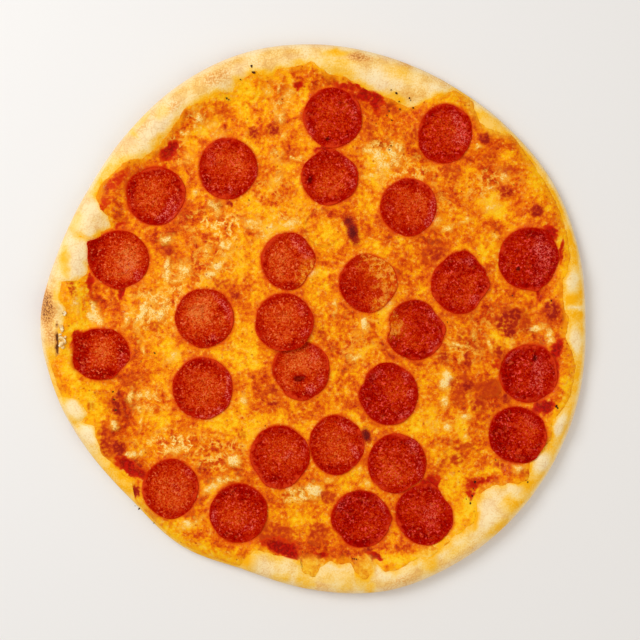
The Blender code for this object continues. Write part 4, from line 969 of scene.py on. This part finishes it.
color = blend(tree, spread(tree, blotch, 0.46, 0.36, 0.0, 0.35), color, srgb(160, 2, 0))
color = blend(tree, spread(tree, blotch, 0.56, 0.66, 0.0, 0.3), color, srgb(226, 66, 24))
fat = ramp(tree, attribute(tree, "slice_warmth"), ((0.2, srgb(255, 86, 76)), (0.7, srgb(255, 122, 70))))
clusters = grain_at(tree, 7.0, 2.6, 53.0)
cluster = spread(tree, clusters["Coarse"], 0.40, 0.56)
color = blend(tree, times(tree, spread(tree, clusters["Fine"], 0.58, 0.68), 0.4), color, srgb(228, 84, 36))
specks = times(tree, spread(tree, bits["Fine"], 0.57, 0.68), spread(tree, cluster, 0.0, 1.0, 0.2, 0.72))
color = blend(tree, specks, color, fat)
color = blend(tree, spread(tree, bits["Fine"], 0.42, 0.31, 0.0, 0.5), color, srgb(132, 2, 0))
color = blend(tree, spread(tree, shade, 1.2, 2.2, 0.0, 0.8), color, srgb(84, 8, 4))
casing = attribute(tree, "slice_casing")
ragged_reach = plus(tree, reach, swing(tree, coarse, 0.5))
ragged_reach = plus(tree, ragged_reach, swing(tree, casing, 0.1))
rim_zone = times(tree, spread(tree, ragged_reach, 0.72, 0.96), spread(tree, fine, 0.3, 0.7, 0.75, 0.35))
color = blend(tree, rim_zone, color, srgb(170, 4, 0))
flange = times(tree, spread(tree, ragged_reach, 0.88, 1.04), spread(tree, casing, 0.4, 0.85, 0.0, 0.75))
color = blend(tree, flange, color, ramp(tree, casing, (
    (0.3, srgb(184, 10, 0)), (0.6, srgb(206, 30, 4)), (0.9, srgb(222, 62, 22)),
)))
color = blend(tree, spread(tree, reach, 0.965, 1.0, 0.0, 0.7), color, srgb(206, 38, 2))
film = attribute(tree, "film")
strands = threads_at(tree, 4.0, 0.07, 2.0)
torn = plus(tree, swing(tree, blotch, 4.0), swing(tree, fine, 1.6))
film_here = times(tree, film, spread(tree, plus(tree, film, torn), 0.2, 0.85))
color = blend(tree, times(tree, film, 0.55), color, srgb(216, 66, 2))
gold = times(tree, film_here, spread(tree, clusters["Fine"], 0.46, 0.62, 0.2, 0.85))
color = blend(tree, gold, color, srgb(240, 128, 2))
strand_here = times(tree, times(tree, film_here, strands["Thread"]), 0.65)
color = blend(tree, strand_here, color, srgb(255, 180, 66))
sheen = attribute(tree, "sheen")
glints = spread(tree, plus(tree, fine, times(tree, coarse, 0.4)), 0.70, 0.80)
sheen_here = times(tree, sheen, glints)
# Painted highlight: where oil shines the colour is mixed towards red, and in broken specks towards pale pink, over the
# real coat gloss set below.
color = blend(tree, times(tree, sheen, 0.25), color, srgb(200, 30, 24))
color = blend(tree, times(tree, sheen_here, 0.7), color, srgb(240, 112, 98))
tree.links.new(color, shader.inputs["Base Color"])
tree.links.new(spread(tree, fine, 0.35, 0.65, 0.36, 0.5), shader.inputs["Roughness"])
shader.inputs["Specular IOR Level"].default_value = 0.0
wet = times(tree, sheen, times(tree, glints, 0.5), clamp=True)
tree.links.new(wet, shader.inputs["Coat Weight"])
shader.inputs["Coat Roughness"].default_value = 0.2
grain_bump(tree, shader, grain, 0.9, 0.0006)


def shape_group(name, inputs):
    """A group that takes and gives geometry, with these further inputs as (name, kind, value)."""
    group = bpy.data.node_groups.new(name, "GeometryNodeTree")
    group.is_modifier = True
    group.interface.new_socket("Geometry", in_out="INPUT", socket_type="NodeSocketGeometry")
    for input_name, kind, value in inputs + (("Finish", "Material", None),):
        socket = group.interface.new_socket(input_name, in_out="INPUT", socket_type="NodeSocket" + kind)
        if value is not None:
            socket.default_value = value
    group.interface.new_socket("Geometry", in_out="OUTPUT", socket_type="NodeSocketGeometry")
    return group, group.nodes.new("NodeGroupInput").outputs


def finish_group(group, given, shaped):
    smooth = add(group, "GeometryNodeSetShadeSmooth", {"Geometry": shaped}).outputs[0]
    done = add(group, "GeometryNodeSetMaterial", {"Geometry": smooth, "Material": given["Finish"]}).outputs[0]
    add(group, "NodeGroupOutput", {"Geometry": done})
    return group


def slice_tree():
    """Nodes that lay an uneven dished disc at every point, at the size and slope that the point states."""
    group, given = shape_group("Laid slices", (
        ("Sides", "Int", 96), ("Rows", "Int", 40), ("Curl", "Float", 0.0007), ("Dents", "Float", 0.0012),
        ("Unevenness", "Float", 0.0034), ("Seed", "Float", 4.0),
    ))

    def number(operation, a, b=0.0):
        return add(group, "ShaderNodeMath", {0: a, 1: b}, operation=operation).outputs[0]

    def vector(operation, a, b):
        return add(group, "ShaderNodeVectorMath", {0: a, 1: b}, operation=operation).outputs[0]

    def curve(value, points):
        made = add(group, "ShaderNodeFloatCurve", {"Value": value})
        line = made.mapping.curves[0]
        while len(line.points) < len(points):
            line.points.new(0.5, 0.5)
        for point, (px, py) in zip(line.points, points):
            point.location = (px, py)
            point.handle_type = "VECTOR"
        made.mapping.update()
        return made.outputs[0]

    def stored(geometry, name, kind, value):
        return add(group, "GeometryNodeStoreNamedAttribute",
                   {"Geometry": geometry, "Name": name, "Value": value}, data_type=kind, domain="POINT").outputs[0]

    def named(name, kind):
        return add(group, "GeometryNodeInputNamedAttribute", {"Name": name}, data_type=kind).outputs[0]

    def unevenness(which, scale, detail):
        inputs = {"Vector": flat_disc, "W": which, "Scale": scale, "Detail": detail}
        return add(group, "ShaderNodeTexNoise", inputs, noise_dimensions="4D").outputs[0]

    sheet = add(group, "GeometryNodeMeshGrid", {
        "Size X": 1.0, "Size Y": 1.0, "Vertices X": given["Sides"], "Vertices Y": given["Rows"],
    })
    place = add(group, "ShaderNodeSeparateXYZ", {0: add(group, "GeometryNodeInputPosition").outputs[0]}).outputs
    angle = number("MULTIPLY", number("ADD", place["X"], 0.5), 2 * math.pi)
    along = number("ADD", place["Y"], 0.5)
    reach = curve(along, ((0, 0), (0.08, 0.97), (0.10, 1.0), (0.15, 1.0), (0.18, 0.985), (0.21, 0.955), (1, 0)))
    lift = curve(along, ((0, 0), (0.08, 0.0), (0.10, 0.12), (0.15, 0.82), (0.18, 0.97), (0.21, 1.0), (1, 1.0)))
    across, up = number("MULTIPLY", reach, number("COSINE", angle)), number("MULTIPLY", reach, number("SINE", angle))
    disc = add(group, "ShaderNodeCombineXYZ", {"X": across, "Y": up, "Z": lift}).outputs[0]
    blank = add(group, "GeometryNodeSetPosition", {"Geometry": sheet.outputs["Mesh"], "Position": disc}).outputs[0]
    blank = stored(blank, "disc", "FLOAT_VECTOR", add(group, "GeometryNodeInputPosition").outputs[0])
    blank = add(group, "GeometryNodeMergeByDistance", {"Geometry": blank, "Distance": 0.0005}).outputs[0]
    blank = add(group, "GeometryNodeFlipFaces", {"Mesh": blank}).outputs[0]
    laid = add(group, "GeometryNodeInstanceOnPoints", {
        "Points": given["Geometry"], "Instance": blank, "Scale": named("slice_size", "FLOAT_VECTOR"),
    }).outputs[0]
    real = add(group, "GeometryNodeRealizeInstances", {"Geometry": laid}).outputs[0]
    disc_now = named("disc", "FLOAT_VECTOR")
    parts = add(group, "ShaderNodeSeparateXYZ", {0: disc_now}).outputs
    flat_disc = add(group, "ShaderNodeCombineXYZ", {"X": parts["X"], "Y": parts["Y"], "Z": 0.0}).outputs[0]
    out_from_middle = add(group, "ShaderNodeVectorMath", {0: flat_disc}, operation="LENGTH").outputs["Value"]
    which = number("ADD", number("MULTIPLY", named("slice_number", "FLOAT"), 7.3), given["Seed"])
    wide = number("MULTIPLY", number("SUBTRACT", unevenness(which, 1.5, 1.0), 0.5), given["Unevenness"])
    outward = add(group, "ShaderNodeVectorMath", {0: flat_disc, "Scale": wide}, operation="SCALE").outputs[0]
    lean = number("MULTIPLY", unevenness(number("ADD", which, 3.1), 0.8, 0.0), 2.0)
    cup = number("MULTIPLY", number("POWER", out_from_middle, 5.0), number("MULTIPLY", given["Curl"], lean))
    dents = unevenness(which, 3.2, 3.0)
    cup = number("ADD", cup, number("MULTIPLY", number("SUBTRACT", dents, 0.5), given["Dents"]))
    slope = named("slice_slope", "FLOAT_VECTOR")
    from_middle = vector("MULTIPLY", flat_disc, named("slice_size", "FLOAT_VECTOR"))
    tilt = add(group, "ShaderNodeVectorMath", {0: from_middle, 1: slope}, operation="DOT_PRODUCT").outputs["Value"]
    upward = add(group, "ShaderNodeCombineXYZ", {"Z": number("ADD", cup, tilt)}).outputs[0]
    push = vector("ADD", outward, upward)
    shaped = add(group, "GeometryNodeSetPosition", {"Geometry": real, "Offset": push}).outputs[0]
    shaped = stored(shaped, "slice_reach", "FLOAT", out_from_middle)
    shaped = stored(shaped, "slice_tone", "FLOAT", number("SUBTRACT", unevenness(which, 0.9, 1.0), 0.5))
    return finish_group(group, given, shaped)


def evaluated_piece(name, source):
    """The modifiers' result as a plain mesh object of its own, with the source removed."""
    graph = bpy.context.evaluated_depsgraph_get()
    mesh = bpy.data.meshes.new_from_object(source.evaluated_get(graph), depsgraph=graph)
    mesh.name = name
    bpy.data.objects.remove(source, do_unlink=True)
    return placed(name, mesh)


def set_input(modifier, name, value):
    socket = next(s for s in modifier.node_group.interface.items_tree if s.name == name and s.in_out == "INPUT")
    modifier[socket.identifier] = value


spots = bpy.data.meshes.new("slice_spots")
spots.from_pydata([(sx * MM, sy * MM, plane[0] * MM) for (sx, sy, _, _), plane in zip(SLICES, slice_planes)], [], [])
sizes = [(width / 2 * MM, depth / 2 * MM, SLICE_THICKNESS * MM) for _, _, width, depth in SLICES]
slopes = [(slope_x, slope_y, 0.0) for _, slope_x, slope_y in slice_planes]
store(spots, "slice_size", sizes, "FLOAT_VECTOR", "vector")
store(spots, "slice_slope", slopes, "FLOAT_VECTOR", "vector")
store(spots, "slice_number", range(1, len(SLICES) + 1))
store(spots, "slice_warmth", SLICE_WARMTH)
slice_points = placed("slice_spots", spots)
laying = slice_points.modifiers.new("Laid slices", "NODES")
laying.node_group = slice_tree()
for name, value in (("Sides", 81), ("Rows", 40), ("Finish", pepperoni_finish)):
    set_input(laying, name, value)
pepperoni = evaluated_piece("pepperoni_slices", slice_points)
points = np.empty(len(pepperoni.data.vertices) * 3)
pepperoni.data.vertices.foreach_get("co", points)
disc = np.empty(len(points))
pepperoni.data.attributes["disc"].data.foreach_get("vector", disc)
points, disc = points.reshape(-1, 3), disc.reshape(-1, 3)
which = np.empty(len(points), np.float32)
pepperoni.data.attributes["slice_number"].data.foreach_get("value", which)
which = np.round(which).astype(int)
reach, angle = np.hypot(disc[:, 0], disc[:, 1]), np.arctan2(disc[:, 1], disc[:, 0])
sheen, shade = np.zeros(len(points)), np.zeros(len(points))
for number, (sx, sy, width, depth) in enumerate(SLICES, 1):
    mine = which == number
    out = slice_outline(number, np.degrees(angle[mine])) * reach[mine] ** 2 * MM
    points[mine, 0] += out * np.cos(angle[mine])
    points[mine, 1] += out * np.sin(angle[mine])
    x, y = points[mine, 0] / MM - sx, points[mine, 1] / MM - sy
    base, slope_x, slope_y = slice_planes[number - 1]
    top_here = base + slope_x * x + slope_y * y + SLICE_THICKNESS
    points[mine, 2] += np.clip(dough_top(x + sx, y + sy) + 0.6 - top_here, 0, None) * MM
    bent_x, bent_y = x + 1.4 * wave(x + sx, y + sy, 5, 71.5), y + 1.4 * wave(x + sx, y + sy, 5, 73.5)
    sheen[mine] = patches(bent_x, bent_y, SLICE_GLOSS[number - 1], 0.5)
    dark = [place for place in SLICE_SHADES[number - 1] if place[-1] > 0]
    light = [place[:-1] + (-place[-1],) for place in SLICE_SHADES[number - 1] if place[-1] < 0]
    shade[mine] = patches(bent_x, bent_y, dark, 0.6) - patches(bent_x, bent_y, light, 0.6)
pepperoni.data.vertices.foreach_set("co", points.ravel())
x, y, z = points.T / MM
film = patches(x + 3 * wave(x, y, 3.6, 47.2), y + 3 * wave(x, y, 5, 11.5), OVER_SLICES, 0.8)
sheen = np.clip(sheen * (1 + 1.6 * wave(x, y, 2.6, 15.5) + 1.2 * wave(x, y, 1.4, 17.5)), 0, 1)
casing = np.clip(0.45 + 1.3 * wave(x, y, 14, 75.5), 0, 1)
for name, values in (("film", film), ("sheen", sheen), ("slice_shade", shade), ("slice_casing", casing)):
    store(pepperoni.data, name, values)
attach(pepperoni, "root")
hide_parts(*[f"pepperoni_{number:02d}" for number in range(1, len(SLICES) + 1)])


# Flecks and crumbs: flakes of dried herb and scorched cheese, about a millimetre across, stuck to the cheese and
# the rim, and pale crumbs of torn crust and curd lying by the tear.

# Each as (x, y, size in millimetres).
FLECKS = (
    (-40.3, 165.7, 1.9), (-38.9, 161.7, 2.2), (-47.5, 157.1, 1.1), (-56.8, 145.2, 1.4), (-55.4, 144.5, 1.0),
    (51.3, 150.5, 1.1), (54.8, 148.5, 1.6), (63.4, 145.2, 1.5), (56.8, 143.2, 1.2), (57.4, 138.6, 1.3), (65.9, 139.1, 1.5),
    (64.2, 143.8, 0.9), (106.9, -107.6, 1.8), (105.9, -112.0, 1.2), (104.9, -116.8, 1.6), (103.6, -121.4, 1.4),
    (101.2, -118.9, 0.9), (159.7, -57.4, 1.9), (160.6, -58.6, 1.3), (27.1, -157.7, 1.2),
    (28.4, -157.8, 1.2), (25.8, -157.5, 1.0),
    (-130.0, -60.0, 1.2), (-42.2, 78.5, 1.1), (-114.8, -125.4, 1.7), (50.2, 137.3, 1.2),
    (52.1, 131.3, 1.3), (48.8, 134.2, 0.9),
    (41.6, 128.7, 0.9), (51.5, 114.2, 1.2), (50.2, 111.5, 1.2), (47.0, 118.2, 0.8),
    (-104.9, -134.6, 1.1), (-117.5, -123.5, 0.9),
    (-31.5, -70.5, 0.8), (98.0, 84.0, 0.9), (131.5, 15.5, 0.9), (88.7, -2.0, 1.0), (78.5, 31.5, 0.8), (156.5, 12.0, 1.2),
    (-132.0, -48.0, 1.4), (-131.2, -53.0, 1.2), (-84.0, -8.5, 1.5), (-104.5, -22.5, 1.2),
    (-20.5, 145.0, 0.9), (-69.0, 96.0, 0.8),
    (-7.0, -153.0, 0.9), (37.0, -143.0, 0.8), (120.5, -93.0, 1.0), (141.0, -107.0, 1.1), (88.0, 110.0, 0.8), (132.0, 88.0, 0.9),
)
CRUMBS = (
    (-165.0, -5.4, 3.6), (-164.6, -7.4, 3.0), (-163.2, 3.6, 3.4), (-164.9, -12.8, 4.6),
    (-163.6, -15.0, 4.2), (-165.0, -16.6, 4.4),
    (-164.0, -18.4, 2.6), (-165.8, -10.2, 2.2), (-162.6, -11.8, 2.0),
)


def stuck_tree():
    """Nodes that set a small uneven flake or lump on every point, at the size that the point states."""
    group, given = shape_group("Stuck bits", (
        ("Flatness", "Float", 0.3), ("Unevenness", "Float", 0.5), ("Lean", "Float", 0.5), ("Seed", "Int", 5),
    ))
    ball = add(group, "GeometryNodeMeshIcoSphere", {"Radius": 0.5, "Subdivisions": 2}).outputs["Mesh"]
    size = add(group, "GeometryNodeInputNamedAttribute", {"Name": "bit_size"}, data_type="FLOAT").outputs[0]
    ways = []
    for axis, low, high in (("X", -1.0, 1.0), ("Y", -1.0, 1.0), ("Z", 0.0, 2 * math.pi)):
        shift = add(group, "ShaderNodeMath", {0: given["Seed"], 1: float("XYZ".index(axis))}, operation="ADD").outputs[0]
        chance = add(group, "FunctionNodeRandomValue", {"Seed": shift}, data_type="FLOAT")
        chance.inputs[2].default_value, chance.inputs[3].default_value = low, high
        turn = chance.outputs[1]
        if axis != "Z":
            turn = add(group, "ShaderNodeMath", {0: turn, 1: given["Lean"]}, operation="MULTIPLY").outputs[0]
        ways.append(turn)
    turned = add(group, "ShaderNodeCombineXYZ", {"X": ways[0], "Y": ways[1], "Z": ways[2]}).outputs[0]
    low = add(group, "ShaderNodeMath", {0: size, 1: given["Flatness"]}, operation="MULTIPLY").outputs[0]
    slim = add(group, "ShaderNodeMath", {0: size, 1: 0.7}, operation="MULTIPLY").outputs[0]
    scaled = add(group, "ShaderNodeCombineXYZ", {"X": size, "Y": slim, "Z": low}).outputs[0]
    laid = add(group, "GeometryNodeInstanceOnPoints", {
        "Points": given["Geometry"], "Instance": ball, "Rotation": turned, "Scale": scaled,
    }).outputs[0]
    real = add(group, "GeometryNodeRealizeInstances", {"Geometry": laid}).outputs[0]
    lumps = add(group, "ShaderNodeTexNoise", {"Scale": 1400.0, "Detail": 1.0})
    halves = {0: lumps.outputs["Color"], 1: (0.5, 0.5, 0.5)}
    middle = add(group, "ShaderNodeVectorMath", halves, operation="SUBTRACT").outputs[0]
    reach = add(group, "ShaderNodeMath", {0: size, 1: given["Unevenness"]}, operation="MULTIPLY").outputs[0]
    pushed = add(group, "ShaderNodeVectorMath", {0: middle, "Scale": reach}, operation="SCALE").outputs[0]
    shaped = add(group, "GeometryNodeSetPosition", {"Geometry": real, "Offset": pushed}).outputs[0]
    return finish_group(group, given, shaped)


def stuck_bits(name, places, finish, seed, values):
    """Bits set where the crust or the cheese, whichever is higher there, carries them."""
    tops = np.concatenate([crust_points, cheese_points[:top_count]])
    spots = []
    for px, py, size in places:
        near = tops[np.hypot(tops[:, 0] - px, tops[:, 1] - py) < 1.3]
        spots.append((px * MM, py * MM, (near[:, 2].max() + 0.1 * size) * MM))
    points = bpy.data.meshes.new(name + "_spots")
    points.from_pydata(spots, [], [])
    store(points, "bit_size", [size * MM for _, _, size in places])
    source = placed(name + "_spots", points)
    setting = source.modifiers.new("Stuck bits", "NODES")
    setting.node_group = stuck_bits_nodes
    for input_name, value in {"Finish": finish, "Seed": seed, **values}.items():
        set_input(setting, input_name, value)
    piece = evaluated_piece(name, source)
    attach(piece, "root")
    return piece


stuck_bits_nodes = stuck_tree()
fleck_finish, tree, shader = start_material("herb_and_char")
grain = grain_at(tree, 9.0, 0.5)
tree.links.new(ramp(tree, grain["Coarse"], (
    (0.42, srgb(48, 16, 6)), (0.52, srgb(84, 32, 6)), (0.60, srgb(80, 54, 10)),
)), shader.inputs["Base Color"])
tree.links.new(spread(tree, grain["Fine"], 0.3, 0.7, 0.55, 0.85), shader.inputs["Roughness"])
shader.inputs["Specular IOR Level"].default_value = 0.15
flecks = stuck_bits("herb_flecks", FLECKS, fleck_finish, 5, {"Flatness": 0.22, "Unevenness": 0.9, "Lean": 0.35})

crumb_finish, tree, shader = start_material("torn_crumb")
grain = grain_at(tree, 3.0, 0.6)
tree.links.new(ramp(tree, grain["Coarse"], (
    (0.40, srgb(252, 232, 190)), (0.52, srgb(248, 214, 150)), (0.62, srgb(240, 184, 96)),
)), shader.inputs["Base Color"])
tree.links.new(spread(tree, grain["Fine"], 0.3, 0.7, 0.6, 0.9), shader.inputs["Roughness"])
shader.inputs["Specular IOR Level"].default_value = 0.2
grain_bump(tree, shader, grain, 0.6, 0.0003)
crumbs = stuck_bits("torn_crumbs", CRUMBS, crumb_finish, 11, {"Flatness": 0.35, "Unevenness": 0.7, "Lean": 0.3})


# The table, the light and the camera: a pale matt table under soft daylight from the upper left, seen from
# straight above, as the photograph was taken.

TABLE_HALF = 3.0
TABLE_TOP = -0.0002
ROOM_COLOR = (1.0, 0.985, 0.965, 1)
ROOM_STRENGTH = 0.55
WINDOW_POWER, WINDOW_COLOR = 11.8, (0.965, 0.985, 1.0)
FILL_POWER, FILL_COLOR = 5.9, (1.0, 0.95, 0.89)
CAMERA_PLACE = (0.0046, -0.0007, 1.005)
CAMERA_LENS, CAMERA_SENSOR = 85, 36

corners = [(x * TABLE_HALF, y * TABLE_HALF, TABLE_TOP) for x, y in ((-1, -1), (1, -1), (1, 1), (-1, 1))]
table_mesh = bpy.data.meshes.new("table")
table_mesh.from_pydata(corners, [], [(0, 1, 2, 3)])
table = placed("table", table_mesh)
table_finish, tree, shader = start_material("pale_table")
shader.inputs["Base Color"].default_value = srgb(236, 233, 230)
shader.inputs["Roughness"].default_value = 0.6
table_mesh.materials.append(table_finish)

world = bpy.data.worlds.new("soft_room")
bpy.context.scene.world = world
world.use_nodes = True
world.node_tree.nodes["Background"].inputs["Color"].default_value = ROOM_COLOR
world.node_tree.nodes["Background"].inputs["Strength"].default_value = ROOM_STRENGTH


def soft_light(name, place, size, power, color):
    data = bpy.data.lights.new(name, "AREA")
    data.shape = "RECTANGLE"
    data.size, data.size_y = size
    data.energy = power
    data.color = color
    light = placed(name, data)
    light.location = place
    light.rotation_euler = (-Vector(place)).to_track_quat("-Z", "Y").to_euler()


soft_light("window", (-0.8, 0.5, 1.15), (0.9, 0.7), WINDOW_POWER, WINDOW_COLOR)
soft_light("fill", (1.2, -0.6, 1.3), (1.4, 1.2), FILL_POWER, FILL_COLOR)

camera_data = bpy.data.cameras.new("above")
camera_data.lens = CAMERA_LENS
camera_data.sensor_width = CAMERA_SENSOR
camera = placed("above", camera_data)
camera.location = CAMERA_PLACE
bpy.context.scene.camera = camera
bpy.context.scene.view_settings.view_transform = "Standard"
